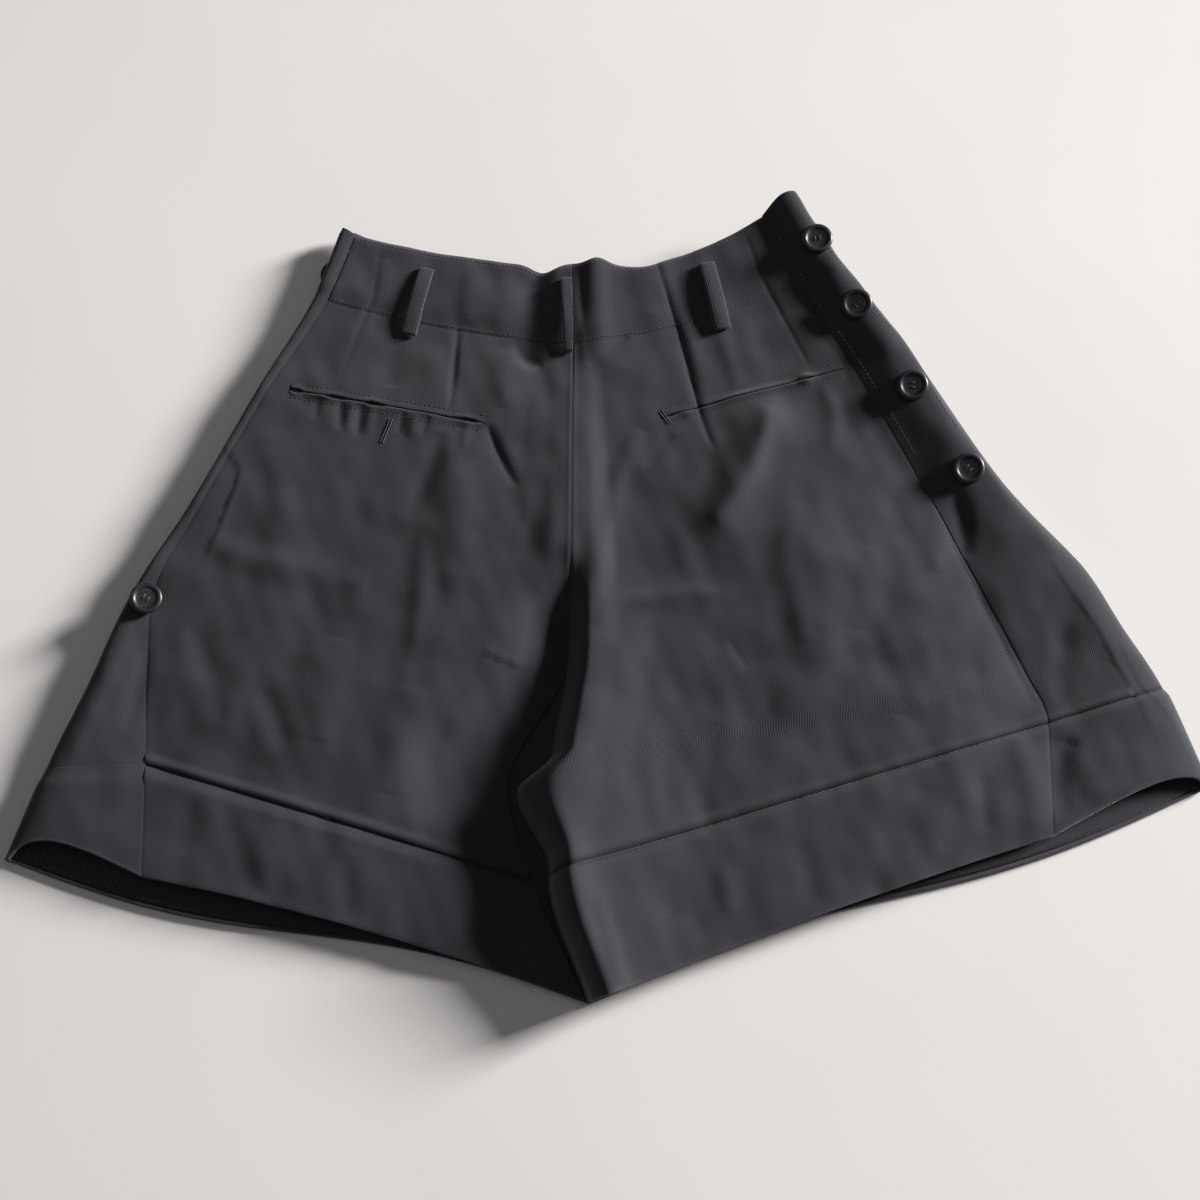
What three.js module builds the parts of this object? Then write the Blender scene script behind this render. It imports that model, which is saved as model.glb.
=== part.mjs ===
// Pleated shorts with turn-up cuffs, lying flat with the back side up.
// Millimetres, +Z up, the waist towards +Y. The surface they lie on is z = 0.
import * as THREE from "three";

// Driving dimensions
const clothThickness = 1.3;
const bandThickness = 2.2;
const cuffThickness = 1.3;
const welt = { thickness: 1.0, width: 6.5, gap: 0.8, lift: 0.8 };
const placket = { thickness: 1.0, lift: 0.3, bottom: 3.35, lines: 6 };
const beltLoop = { thickness: 1.8, width: 9.5, standOff: 0.9, arch: 2.4 };
const button = { radius: 10.3, thickness: 3.4, rim: 2.2, dish: 0.9, sides: 16, clearance: 0.7 };
const seamGap = 0.3;
const backSeamGap = 0.4;
const lipLength = 1.4;
const underRaise = { flat: 26, reach: 50 };

// The middle of the whole in plan, which becomes the origin.
const centre = { x: 6.8, y: 10.9 };

const skin = clothThickness / 2;
const onCloth = skin + seamGap;
const cuffOuter = onCloth + cuffThickness;

const cloth = { color: 0x34343a, roughness: 0.86, metalness: 0 };
const gloss = { color: 0x0d0d10, roughness: 0.22, metalness: 0 };

// Each half is a tube pressed flat, read across its rows from the waist to the hem. In plan, c is the back
// seam or inner leg, s the side seam, k the fold's shoulder, e the outer fold, f the front seam or inner leg
// of the lower layer. Bow bends the upper row, sag and wave the lower one.
// z0 to z7 are the heights from c to s, shoulder and edge those of the fold's top and of its outer line,
// and under raises the lower layer beside the fold, where buttons lie beneath it.
const planColumns = ["cx", "cy", "sx", "sy", "kx", "ky", "ex", "ey", "fx", "fy", "bow", "sag", "wave"];
const heightColumns = ["z0", "z1", "z2", "z3", "z4", "z5", "z6", "z7", "shoulder", "edge", "under"];
const rowNames = ["waist", "bandSeam", "pocket", "opening", "crotch", "thigh", "cuff", "hem"];
const leftPlan = [
  [-18.9, 230.8, -167.2, 254.6, -176, 260.3, -176, 260.3, -18.9, 229, -5, -10, 0],
  [-18, 171.9, -184.2, 205.7, -192.6, 209.6, -192.6, 209.6, -18, 171.9, -4, -5, 0],
  [-18.4, 115, -219.5, 142.7, -228, 141.5, -228, 141.5, -18.4, 115, 0, 0, 0],
  [-18.7, 35.8, -257.1, 66.8, -265.5, 65.7, -265.5, 65.7, -18.7, 35.8, 0, 0, 0],
  [-20.5, -38.5, -288.5, -7.5, -304.3, -4.7, -304.3, -4.7, -20.5, -38.5, 0, 0, 0],
  [-58.8, -122, -287.5, -62.4, -325.6, -60.7, -325.6, -60.7, -58.8, -122, 0, 0, 0],
  [-42, -182, -284.7, -110, -347.4, -112.3, -347.4, -112.3, -34.8, -182, 0, 0, 0],
  [-8.4, -254.7, -282.5, -179, -352, -146, -367.6, -169, -7, -255.6, 6, 0, -7],
];
const leftHeights = [
  [17, 17, 16, 14.5, 14, 13, 12, 12, 13, 8.4, 4.4],
  [17, 17, 16, 15, 14.5, 13, 12, 12, 13.5, 8.6, 4.4],
  [21, 20.5, 19, 19, 18, 16, 14, 13, 14, 8.6, 4.4],
  [23, 22.5, 20, 20, 19, 17, 15, 13.5, 14, 8.6, 4.4],
  [3, 9, 17, 19, 19, 17, 14.5, 13, 16, 8, 0],
  [3, 3.4, 6, 13.5, 19.5, 18, 14, 12, 18, 8, 0],
  [4.4, 4.6, 4.8, 6.5, 14, 15, 12.5, 11, 16, 6, 0],
  [4.4, 4.6, 4.8, 5, 9, 11, 10, 9, 12, 4.5, 0],
];
const rightPlan = [
  [-18.9, 230.8, 110, 263.5, 129, 284, 137.5, 268.5, -18.9, 229, -14, -16, 0],
  [-18, 171.9, 134, 213, 158.6, 234.6, 158.6, 234.6, -18, 171.9, -7, -8, 0],
  [-18.4, 115, 167, 156, 197.7, 178.5, 197.7, 178.5, -18.4, 115, 0, 0, 0],
  [-18.7, 35.8, 224.5, 44, 265, 71.2, 265, 71.2, -18.7, 35.8, 0, 0, 0],
  [-20.5, -38.5, 255, -18.8, 314.8, 15, 314.8, 15, -20.5, -38.5, 0, 0, 0],
  [-31, -109, 271, -52, 334.2, -20, 334.2, -20, -58, -122, 0, 0, 0],
  [-32, -179, 282.4, -83.9, 357.5, -61, 357.5, -61, -34, -182, 0, 0, 0],
  [-7.3, -254.7, 281, -154, 367, -107, 381.5, -123.5, -6.1, -255.3, 3, 0, -7],
];
const rightHeights = [
  [17, 18, 20, 19, 18, 19, 20, 21, 36, 18, 0],
  [17, 18, 18, 18, 18, 18, 19, 20, 35, 17, 0],
  [21, 20.5, 18, 18, 18, 19, 19, 20, 33, 16, 0],
  [23, 22.5, 17, 17, 18, 20, 20, 16, 27, 13, 0],
  [3, 22, 20, 17, 17, 18, 18, 13, 20, 9, 0],
  [3, 27, 23, 18, 15, 16, 16, 10, 18, 8, 0],
  [4.4, 28, 24, 19, 15.5, 15, 14.5, 10, 16, 7, 0],
  [4.4, 20, 16.5, 13, 11, 11, 10, 9, 13, 4.5, 0],
];
const heightStops = [0, 0.05, 0.12, 0.2, 0.3, 0.55, 0.8, 1];
const row = Object.fromEntries(rowNames.map((name, index) => [name, index]));

// Soft folds of the upper layer: a line in plan, its width and its rise (a trough's is negative).
const folds = [
  { name: "waist trough", x1: -41, y1: 230, x2: -47, y2: 164, width: 8, rise: -4.5 },
  { name: "waist ridge", x1: -4, y1: 232, x2: 0, y2: 164, width: 9, rise: 4 },
  { name: "seat ridge", x1: 110, y1: 118, x2: 78, y2: 50, width: 12, rise: 6 },
  { name: "thigh ridge", x1: 138, y1: 36, x2: 138, y2: -34, width: 20, rise: 5 },
  { name: "left seat ridge", x1: -95, y1: 92, x2: -93, y2: 14, width: 12, rise: 4 },
  { name: "left thigh trough", x1: -150, y1: 40, x2: -190, y2: -20, width: 18, rise: -2 },
];

// Belt loops run down the band from (x1, y1) to (x2, y2).
const beltLoops = [
  { name: "belt_loop_left", x1: -117, y1: 228, x2: -128, y2: 180 },
  { name: "belt_loop_centre", x1: -21.5, y1: 219, x2: -18.5, y2: 166 },
  { name: "belt_loop_right", x1: 72, y1: 229, x2: 82, y2: 181 },
];
// Pocket slits, each with a welt along either side.
const pockets = [
  { name: "left", x1: -206, y1: 141, x2: -75, y2: 115 },
  { name: "right", x1: 40, y1: 119, x2: 162, y2: 153 },
];
// Buttons: where each sits in plan and how far it stands off the cloth that it lies along. A hidden one lies
// under the lower layer, which is raised over it.
const buttons = [
  { name: "button_left_1", side: "left", x: -181, y: 230, hidden: true },
  { name: "button_left_2", side: "left", x: -205, y: 149, hidden: true },
  { name: "button_left_3", side: "left", x: -242, y: 72, hidden: true },
  { name: "button_left_4", side: "left", x: -291, y: -3.5, rise: 0.4 },
  { name: "button_right_1", side: "right", x: 145.5, y: 242, rise: 0.4 },
  { name: "button_right_2", side: "right", x: 170.7, y: 196, rise: 0.4 },
  { name: "button_right_3", side: "right", x: 205, y: 138.6, rise: 0.4 },
  { name: "button_right_4", side: "right", x: 239, y: 82, rise: 0.4 },
];

// Interpolation
function smoothCurve(stops, values) {
  const last = stops.length - 1;
  const rates = [];
  for (let i = 0; i < last; i++) {
    rates.push((values[i + 1] - values[i]) / (stops[i + 1] - stops[i]));
  }
  const slopes = stops.map((_, i) => {
    if (i === 0) return rates[0];
    if (i === last) return rates[last - 1];
    const product = rates[i - 1] * rates[i];
    return product <= 0 ? 0 : (2 * product) / (rates[i - 1] + rates[i]);
  });
  return (at) => {
    let i = 0;
    while (i < last - 1 && at > stops[i + 1]) i++;
    const step = stops[i + 1] - stops[i];
    const t = (at - stops[i]) / step;
    const rise = (3 - 2 * t) * t * t;
    const lead = t * (1 - t) * (1 - t) * slopes[i] - t * t * (1 - t) * slopes[i + 1];
    return values[i] + (values[i + 1] - values[i]) * rise + lead * step;
  };
}

function bezier(a, b, c, d, t) {
  const s = 1 - t;
  return s * s * s * a + 3 * s * s * t * b + 3 * s * t * t * c + t * t * t * d;
}

const mix = THREE.MathUtils.lerp;
const ramp = THREE.MathUtils.smoothstep;

function segmentDistance(x, y, line) {
  const dx = line.x2 - line.x1;
  const dy = line.y2 - line.y1;
  const along = ((x - line.x1) * dx + (y - line.y1) * dy) / (dx * dx + dy * dy);
  const t = THREE.MathUtils.clamp(along, 0, 1);
  return Math.hypot(x - line.x1 - t * dx, y - line.y1 - t * dy);
}

// The surface of one half. u runs from the back seam (0) over the side seam (1) and the outer fold (2)
// to the front seam on the floor (3), v from the waist (0) to the hem (7).
function makeHalf(side, plan, heights, outwards) {
  const names = [...planColumns, ...heightColumns];
  const table = plan.map((values, index) => [...values, ...heights[index]]);
  const rowStops = table.map((_, index) => index);
  const curves = names.map((_, column) => smoothCurve(rowStops, table.map((values) => values[column])));
  const at = (v) => Object.fromEntries(names.map((name, column) => [name, curves[column](v)]));
  return { side, outwards, at };
}

const halves = {
  left: makeHalf("left", leftPlan, leftHeights, 1),
  right: makeHalf("right", rightPlan, rightHeights, -1),
};
// How far the margin's curve leans towards its shoulder.
const foldPull = 0.6;
// Where the lower layer's fold ends and where the part of it beside the fold ends, in u past the fold.
const underFold = 0.14;
const underEdge = 0.42;

function foldRise(x, y) {
  let rise = 0;
  for (const fold of folds) {
    const away = segmentDistance(x, y, fold) / fold.width;
    rise += fold.rise * Math.exp(-away * away);
  }
  return rise;
}

// Over the cuffs, the lower layer is raised by the cuff that lies under it.
function floorHeight(v) {
  return skin + (cuffThickness + seamGap) * ramp(v, row.cuff - 0.3, row.cuff - 0.05);
}

function upperPoint(r, u) {
  const bend = 4 * u * (1 - u) * r.bow;
  const x = mix(r.cx, r.sx, u);
  const y = mix(r.cy, r.sy, u) + bend;
  const heights = smoothCurve(heightStops, [r.z0, r.z1, r.z2, r.z3, r.z4, r.z5, r.z6, r.z7]);
  return new THREE.Vector3(x, y, heights(u) + foldRise(x, y) * ramp(u, 0, 0.05));
}

function marginPoint(r, t) {
  const x = bezier(r.sx, mix(r.sx, r.kx, foldPull), r.kx, r.ex, t);
  const y = bezier(r.sy, mix(r.sy, r.ky, foldPull), r.ky, r.ey, t);
  const height = bezier(r.z7, (r.z7 + r.shoulder) / 2, r.shoulder, r.edge, t);
  return new THREE.Vector3(x, y, height + foldRise(x, y) * (1 - t * t));
}

function lowerPoint(r, k, v) {
  const reach = Math.hypot(r.fx - r.ex, r.fy - r.ey);
  const ux = r.ex + (r.edge * (r.fx - r.ex)) / reach;
  const uy = r.ey + (r.edge * (r.fy - r.ey)) / reach;
  const floor = floorHeight(v);
  if (k < underFold) {
    const angle = ((k / underFold) * Math.PI) / 2;
    const inwards = 1 - Math.cos(angle);
    const height = mix(r.edge, floor + r.under, Math.sin(angle));
    return new THREE.Vector3(mix(r.ex, ux, inwards), mix(r.ey, uy, inwards), height);
  }
  const width = Math.hypot(r.fx - ux, r.fy - uy);
  const near = (k - underFold) / (underEdge - underFold);
  const far = (k - underEdge) / (1 - underEdge);
  const away = near < 1 ? near * underRaise.reach : mix(underRaise.reach, width, far);
  const t = away / width;
  const raised = r.under * (1 - ramp(away, underRaise.flat, underRaise.reach));
  const bend = 4 * t * (1 - t) * r.sag + r.wave * Math.sin(2 * Math.PI * t);
  return new THREE.Vector3(mix(ux, r.fx, t), mix(uy, r.fy, t) + bend, floor + raised);
}

function surface(half, u, v) {
  const r = half.at(v);
  let point;
  if (u <= 1) point = upperPoint(r, u);
  else if (u <= 2) point = marginPoint(r, u - 1);
  else point = lowerPoint(r, u - 2, v);
  // The two halves part by a small gap where they meet at the centre.
  const share = u <= 1 ? 1 - u : Math.max(0, u - 2);
  point.x -= half.outwards * (backSeamGap / 2) * Math.min(1, share);
  return point;
}

// A point of a half moved out along the surface's normal.
const mitreReach = 0.03;
const probe = { u: 0.004, v: 0.01 };

function offsetPoint(half, u, v, offset) {
  const u0 = Math.max(0, u - probe.u);
  const u1 = Math.min(3, u + probe.u);
  const v0 = Math.max(0, v - probe.v);
  const v1 = Math.min(row.hem, v + probe.v);
  const across = surface(half, u1, v).sub(surface(half, u0, v));
  const down = surface(half, u, v1).sub(surface(half, u, v0));
  const normal = across.cross(down).multiplyScalar(half.outwards);
  // At the centre seams the two halves are mitred: their edges stand in one upright plane.
  normal.x *= ramp(u, 0, mitreReach) * (1 - ramp(u, 3 - mitreReach, 3));
  normal.normalize();
  return { point: surface(half, u, v).addScaledVector(normal, offset), normal };
}

// Finds u and v of a plan point on the upper layer, by Newton's steps from the nearest of a few guesses.
const guess = { u: 0.15, v: 0.4 };
const newtonSteps = 12;

function locate(x, y, half) {
  const plan = (u, v) => surface(half, THREE.MathUtils.clamp(u, 0, 2), THREE.MathUtils.clamp(v, 0, row.hem));
  let best = { away: Infinity, u: 0.5, v: 3 };
  for (let u = 0.05; u < 1.95; u += guess.u) {
    for (let v = 0.1; v < row.hem; v += guess.v) {
      const p = plan(u, v);
      const away = Math.hypot(p.x - x, p.y - y);
      if (away < best.away) best = { away, u, v };
    }
  }
  let { u, v } = best;
  const h = 0.001;
  for (let step = 0; step < newtonSteps; step++) {
    const p = plan(u, v);
    const pu = plan(u + h, v).sub(p).divideScalar(h);
    const pv = plan(u, v + h).sub(p).divideScalar(h);
    const area = pu.x * pv.y - pu.y * pv.x;
    u += ((x - p.x) * pv.y - (y - p.y) * pv.x) / area;
    v += ((y - p.y) * pu.x - (x - p.x) * pu.y) / area;
    u = THREE.MathUtils.clamp(u, 0, 1.97);
    v = THREE.MathUtils.clamp(v, 0.001, 6.999);
  }
  return { half, u, v };
}

function locateUpper(x, y) {
  return locate(x, y, x < halves.left.at(2).cx ? halves.left : halves.right);
}

// Meshes
function even(from, to, steps) {
  return Array.from({ length: steps + 1 }, (_, i) => mix(from, to, i / steps));
}

function signedVolume(positions, triangles) {
  const corner = (i) => new THREE.Vector3(...positions[i]);
  let volume = 0;
  for (const [a, b, c] of triangles) volume += corner(a).dot(corner(b).cross(corner(c)));
  return volume;
}

// A closed wall over a grid of outer and inner points, joined along its rim.
function wallGeometry(outer, inner) {
  const wide = outer.length;
  const long = outer[0].length;
  const positions = [...outer.flat(), ...inner.flat()].map((p) => [p.x, p.y, p.z]);
  const index = (i, j, layer) => layer * wide * long + i * long + j;
  const triangles = [];
  const quad = (a, b, c, d) => triangles.push([a, b, c], [a, c, d]);
  for (let i = 0; i < wide - 1; i++) {
    for (let j = 0; j < long - 1; j++) {
      quad(index(i, j, 0), index(i + 1, j, 0), index(i + 1, j + 1, 0), index(i, j + 1, 0));
      quad(index(i, j, 1), index(i, j + 1, 1), index(i + 1, j + 1, 1), index(i + 1, j, 1));
    }
  }
  for (let i = 0; i < wide - 1; i++) {
    quad(index(i, 0, 0), index(i, 0, 1), index(i + 1, 0, 1), index(i + 1, 0, 0));
    quad(index(i, long - 1, 0), index(i + 1, long - 1, 0), index(i + 1, long - 1, 1), index(i, long - 1, 1));
  }
  for (let j = 0; j < long - 1; j++) {
    quad(index(0, j, 0), index(0, j + 1, 0), index(0, j + 1, 1), index(0, j, 1));
    quad(index(wide - 1, j, 0), index(wide - 1, j, 1), index(wide - 1, j + 1, 1), index(wide - 1, j + 1, 0));
  }
  if (signedVolume(positions, triangles) < 0) triangles.forEach((t) => t.reverse());
  const geometry = new THREE.BufferGeometry();
  geometry.setAttribute("position", new THREE.Float32BufferAttribute(positions.flat(), 3));
  geometry.setIndex(triangles.flat());
  geometry.computeVertexNormals();
  return geometry;
}

const shorts = new THREE.Group();
shorts.name = "pleated_shorts";
shorts.position.set(-centre.x, -centre.y, 0);

function addPiece(name, geometry, finish) {
  const mesh = new THREE.Mesh(geometry, new THREE.MeshStandardMaterial({ ...finish, name }));
  mesh.name = name;
  shorts.add(mesh);
  return mesh;
}

// A wall over places on the halves, between two offsets from the surface.
function addWall(name, places, outerOffset, innerOffset) {
  const layer = (offset) => places.map((line, i) => line.map(({ half, u, v }, j) =>
    offsetPoint(half, u, v, offset(i / (places.length - 1), v, j / (line.length - 1))).point));
  return addPiece(name, wallGeometry(layer(outerOffset), layer(innerOffset)), cloth);
}

const placesOver = (half, us, vs) => us.map((u) => vs.map((v) => ({ half, u, v })));

// Rows of the panels: finer at the pockets, and over the cuffs the same lines as the cuffs.
const rowShare = 0.004;
const cuffRows = [row.cuff, 6.3, 6.6, 6.85];
const panelEnd = 6.955;
const bandRows = [row.waist, 0.35, 0.7, row.bandSeam - rowShare];
const pocketRows = even(1.7, 2.3, 6);
const panelRows = [row.bandSeam + rowShare, 1.25, 1.5, ...pocketRows, ...even(2.6, 5.65, 10), row.cuff - 0.05,
  ...cuffRows, panelEnd];
// Lines down the legs: closer beside the back seam and round the outer fold.
const backAcross = [0, 0.03, 0.07, 0.12, 0.17, 0.22, ...even(0.28, 1, 10)];
const marginAcross = even(1, 2, 7);
const foldAcross = even(2, 2 + underFold, 3).slice(1);
const besideFoldAcross = even(2 + underFold, 2 + underEdge, 4).slice(1);
const restAcross = even(2 + underEdge, 3, 5).slice(1);
const frontAcross = [...marginAcross, ...foldAcross, ...besideFoldAcross, ...restAcross];

// The back stops short of the side seam by the seam's gap.
const backWidth = 225;
const backUpTo = (us) => us.map((u) => Math.min(u, 1 - seamGap / backWidth));

function addPanels(half) {
  const backPlaces = placesOver(half, backUpTo(backAcross), panelRows);
  addWall(`back_${half.side}`, backPlaces, () => skin, () => -skin);
  addWall(`front_${half.side}`, placesOver(half, frontAcross, panelRows), () => skin, () => -skin);
}

// A cuff lies on its panel and closes under the hem with a lip that covers the panel's edge.
const cuffLength = 70;

function addCuffs(half) {
  const lipTop = row.hem - lipLength / cuffLength;
  const rows = [...cuffRows, panelEnd, lipTop - 0.01, lipTop, row.hem];
  const inner = (_, v) => (v >= lipTop ? -skin : onCloth);
  const backPlaces = placesOver(half, backUpTo(backAcross), rows);
  addWall(`cuff_back_${half.side}`, backPlaces, () => cuffOuter, inner);
  addWall(`cuff_front_${half.side}`, placesOver(half, frontAcross, rows), () => cuffOuter, inner);
}

function addWaistband() {
  const across = even(0, 1, 16);
  const inner = () => skin - bandThickness;
  for (const half of Object.values(halves)) {
    addWall(`waistband_back_${half.side}`, placesOver(half, backUpTo(across), bandRows), () => skin, inner);
  }
  const leftPart = placesOver(halves.left, frontAcross, bandRows);
  const rightPart = placesOver(halves.right, [...frontAcross].reverse(), bandRows).slice(1);
  addWall("waistband_front", [...leftPart, ...rightPart], () => skin, inner);
}

// Places of a strip along a line in plan, "from" and "to" measured to the line's left.
function stripPlaces(line, from, to, steps) {
  const along = new THREE.Vector2(line.x2 - line.x1, line.y2 - line.y1);
  const length = along.length();
  along.divideScalar(length);
  return even(from, to, 1).map((shift) => even(0, length, steps).map((distance) => locateUpper(
    line.x1 + along.x * distance - along.y * shift,
    line.y1 + along.y * distance + along.x * shift,
  )));
}

function addBeltLoops() {
  for (const line of beltLoops) {
    const places = stripPlaces(line, -beltLoop.width / 2, beltLoop.width / 2, 9);
    const lift = (_, v, along) => onCloth + beltLoop.standOff + beltLoop.arch * Math.sin(Math.PI * along);
    addWall(line.name, places, (i, v, along) => lift(i, v, along) + beltLoop.thickness, lift);
  }
}

function addPockets() {
  for (const line of pockets) {
    const half = welt.gap / 2;
    const edges = { upper: [half, half + welt.width], lower: [-half - welt.width, -half] };
    for (const [name, [from, to]] of Object.entries(edges)) {
      const places = stripPlaces(line, from, to, 14);
      const lift = onCloth + welt.lift;
      addWall(`welt_${line.name}_${name}`, places, () => lift + welt.thickness, () => lift);
    }
  }
}

// A placket lies on the margin, on the same lines as the front and the band below it.
function addPlackets() {
  const rows = [...bandRows, ...panelRows.filter((v) => v < placket.bottom)];
  const lift = onCloth + placket.lift;
  for (const half of Object.values(halves)) {
    const places = placesOver(half, marginAcross.slice(0, placket.lines), rows);
    addWall(`placket_${half.side}`, places, () => lift + placket.thickness, () => lift);
  }
}

function buttonGeometry() {
  const { radius, thickness, rim, dish, sides } = button;
  const profile = [[0, 0], [radius - 1, 0], [radius, 1], [radius, thickness - 0.8], [radius - 0.8, thickness],
    [radius - rim, thickness], [radius - rim - 1.2, thickness - dish], [0, thickness - dish]];
  return new THREE.LatheGeometry(profile.map(([x, y]) => new THREE.Vector2(x, y)), sides);
}

function addButtons() {
  const axis = new THREE.Vector3(0, 1, 0);
  for (const { name, side, x, y, rise, hidden } of buttons) {
    const mesh = addPiece(name, buttonGeometry(), gloss);
    if (hidden) {
      mesh.rotation.x = -Math.PI / 2;
      mesh.position.set(x, y, button.thickness + 0.05);
      continue;
    }
    const { half, u, v } = locate(x, y, halves[side]);
    const seat = onCloth + placket.lift + placket.thickness + button.clearance + rise;
    const { point, normal } = offsetPoint(half, u, v, 0);
    mesh.quaternion.setFromUnitVectors(axis, normal);
    mesh.position.copy(point).addScaledVector(normal, seat);
  }
}

for (const half of Object.values(halves)) {
  addPanels(half);
  addCuffs(half);
}
addWaistband();
addBeltLoops();
addPockets();
addPlackets();
addButtons();

export default shorts;
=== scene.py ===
# Pleated shorts with turn-up cuffs, laid flat with the back side up.
# The tables are in millimetres, with their own middle; the scene is in metres.
import math

import bpy
import numpy as np
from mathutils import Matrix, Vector


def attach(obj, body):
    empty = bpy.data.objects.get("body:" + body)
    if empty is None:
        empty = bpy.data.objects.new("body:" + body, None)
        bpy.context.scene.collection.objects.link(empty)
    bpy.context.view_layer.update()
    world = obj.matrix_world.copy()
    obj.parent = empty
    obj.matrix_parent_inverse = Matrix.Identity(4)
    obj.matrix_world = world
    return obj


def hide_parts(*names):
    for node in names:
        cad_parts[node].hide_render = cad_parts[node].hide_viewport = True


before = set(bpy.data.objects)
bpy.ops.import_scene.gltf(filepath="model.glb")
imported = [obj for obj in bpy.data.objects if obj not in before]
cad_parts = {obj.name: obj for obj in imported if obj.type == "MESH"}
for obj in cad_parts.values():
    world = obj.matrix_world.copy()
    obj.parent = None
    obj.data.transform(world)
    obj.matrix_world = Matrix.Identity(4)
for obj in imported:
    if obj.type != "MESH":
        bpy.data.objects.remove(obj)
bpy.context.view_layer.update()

mm = 0.001
centre = np.array([6.8, 10.9, 0.0])
random = np.random.default_rng(11)

# The camera comes first: it looks down at 75 degrees from the hem's side.
cameraSizes = {"target": (-6.8, -10.9, 0), "distance": 1083, "elevation": 75, "lens": 50}


def addCamera():
    tilt = math.radians(cameraSizes["elevation"])
    away = Vector((0, -math.cos(tilt), math.sin(tilt)))
    camera = bpy.data.objects.new("camera", bpy.data.cameras.new("camera"))
    camera.data.lens = cameraSizes["lens"]
    camera.data.sensor_width = 36
    camera.location = (Vector(cameraSizes["target"]) + away * cameraSizes["distance"]) * mm
    camera.rotation_euler = (-away).to_track_quat("-Z", "Y").to_euler()
    bpy.context.collection.objects.link(camera)
    bpy.context.scene.camera = camera


addCamera()
print("camera placed")

# Each half is a tube pressed flat. Its rows run from the waist to the hem: c is the back seam or inner leg,
# s the side seam, k the fold's shoulder, e the outer fold, f the front seam of the lower layer.
planNames = ["cx", "cy", "sx", "sy", "kx", "ky", "ex", "ey", "fx", "fy", "bow", "sag", "wave"]
heightNames = ["z0", "z1", "z2", "z3", "z4", "z5", "z6", "z7", "shoulder", "edge", "under"]
rowAt = {"waist": 0, "bandSeam": 1, "pocket": 2, "opening": 3, "crotch": 4, "thigh": 5, "cuff": 6, "hem": 7}
leftPlan = [
    [-18.9, 230.8, -167.2, 254.6, -176, 260.3, -176, 260.3, -18.9, 229, -5, -10, 0],
    [-18, 171.9, -184.2, 205.7, -192.6, 209.6, -192.6, 209.6, -18, 171.9, -4, -5, 0],
    [-18.4, 115, -219.5, 142.7, -228, 141.5, -228, 141.5, -18.4, 115, 0, 0, 0],
    [-18.7, 35.8, -257.1, 66.8, -265.5, 65.7, -265.5, 65.7, -18.7, 35.8, 0, 0, 0],
    [-20.5, -38.5, -288.5, -7.5, -304.3, -4.7, -304.3, -4.7, -20.5, -38.5, 0, 0, 0],
    [-58.8, -122, -287.5, -62.4, -325.6, -60.7, -325.6, -60.7, -58.1, -122, 0, 0, 0],
    [-42, -182, -284.7, -110, -347.4, -112.3, -347.4, -112.3, -34.1, -182, 0, 0, 0],
    [-8.4, -254.7, -282.5, -179, -352, -146, -367.6, -169, -6.3, -255.4, 6, 0, -7],
]
leftHeights = [
    [17, 17, 16, 14.5, 14, 13, 12, 12, 13, 8.4, 4.4],
    [17, 17, 16, 15, 14.5, 13, 12, 12, 13.5, 8.6, 4.4],
    [21, 20.5, 19, 19, 18, 16, 14, 13, 14, 8.6, 4.4],
    [23, 22.5, 20, 20, 19, 17, 15, 13.5, 14, 8.6, 4.4],
    [3, 8, 15, 18, 18, 16.5, 14.5, 13, 16, 8, 0],
    [3, 3.4, 4.6, 8.5, 13.5, 15, 13.5, 12, 18, 8, 0],
    [4.4, 4.6, 4.8, 6.5, 9.5, 12, 12, 11, 16, 6, 0],
    [4.4, 4.6, 4.8, 5, 7, 9, 9.5, 9, 12, 4.5, 0],
]
rightPlan = [
    [-18.9, 230.8, 110, 263.5, 129, 284, 137.5, 268.5, -18.9, 229, -14, -16, 0],
    [-18, 171.9, 134, 213, 158.6, 234.6, 158.6, 234.6, -18, 171.9, -7, -8, 0],
    [-18.4, 115, 167, 156, 197.7, 178.5, 197.7, 178.5, -18.4, 115, 0, 0, 0],
    [-18.7, 35.8, 224.5, 44, 265, 71.2, 265, 71.2, -18.7, 35.8, 0, 0, 0],
    [-20.5, -38.5, 255, -18.8, 314.8, 15, 314.8, 15, -20.5, -38.5, 0, 0, 0],
    [-31, -109, 271, -52, 334.2, -20, 334.2, -20, -58, -122, 0, 0, 0],
    [-32, -179, 282.4, -83.9, 357.5, -61, 357.5, -61, -34, -182, 0, 0, 0],
    [-7.3, -254.7, 281, -154, 367, -107, 381.5, -123.5, -6.1, -255.3, 3, 0, -7],
]
rightHeights = [
    [17, 18, 20, 19, 18, 19, 20, 21, 36, 18, 0],
    [17, 18, 18, 18, 18, 18, 19, 20, 35, 17, 0],
    [21, 20.5, 18, 18, 18, 19, 19, 20, 33, 16, 0],
    [23, 22.5, 17, 17, 18, 20, 20, 16, 27, 13, 0],
    [3, 22, 20, 17, 17, 18, 18, 13, 20, 9, 0],
    [3, 27, 23, 18, 15, 16, 16, 10, 18, 8, 0],
    [4.4, 28, 24, 19, 15.5, 15, 14.5, 10, 16, 7, 0],
    [4.4, 20, 16.5, 13, 11, 11, 10, 9, 13, 4.5, 0],
]
heightStops = [0, 0.05, 0.12, 0.2, 0.3, 0.55, 0.8, 1]
halves = {
    "left": {"table": np.hstack([leftPlan, leftHeights]), "outwards": 1},
    "right": {"table": np.hstack([rightPlan, rightHeights]), "outwards": -1},
}

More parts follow.
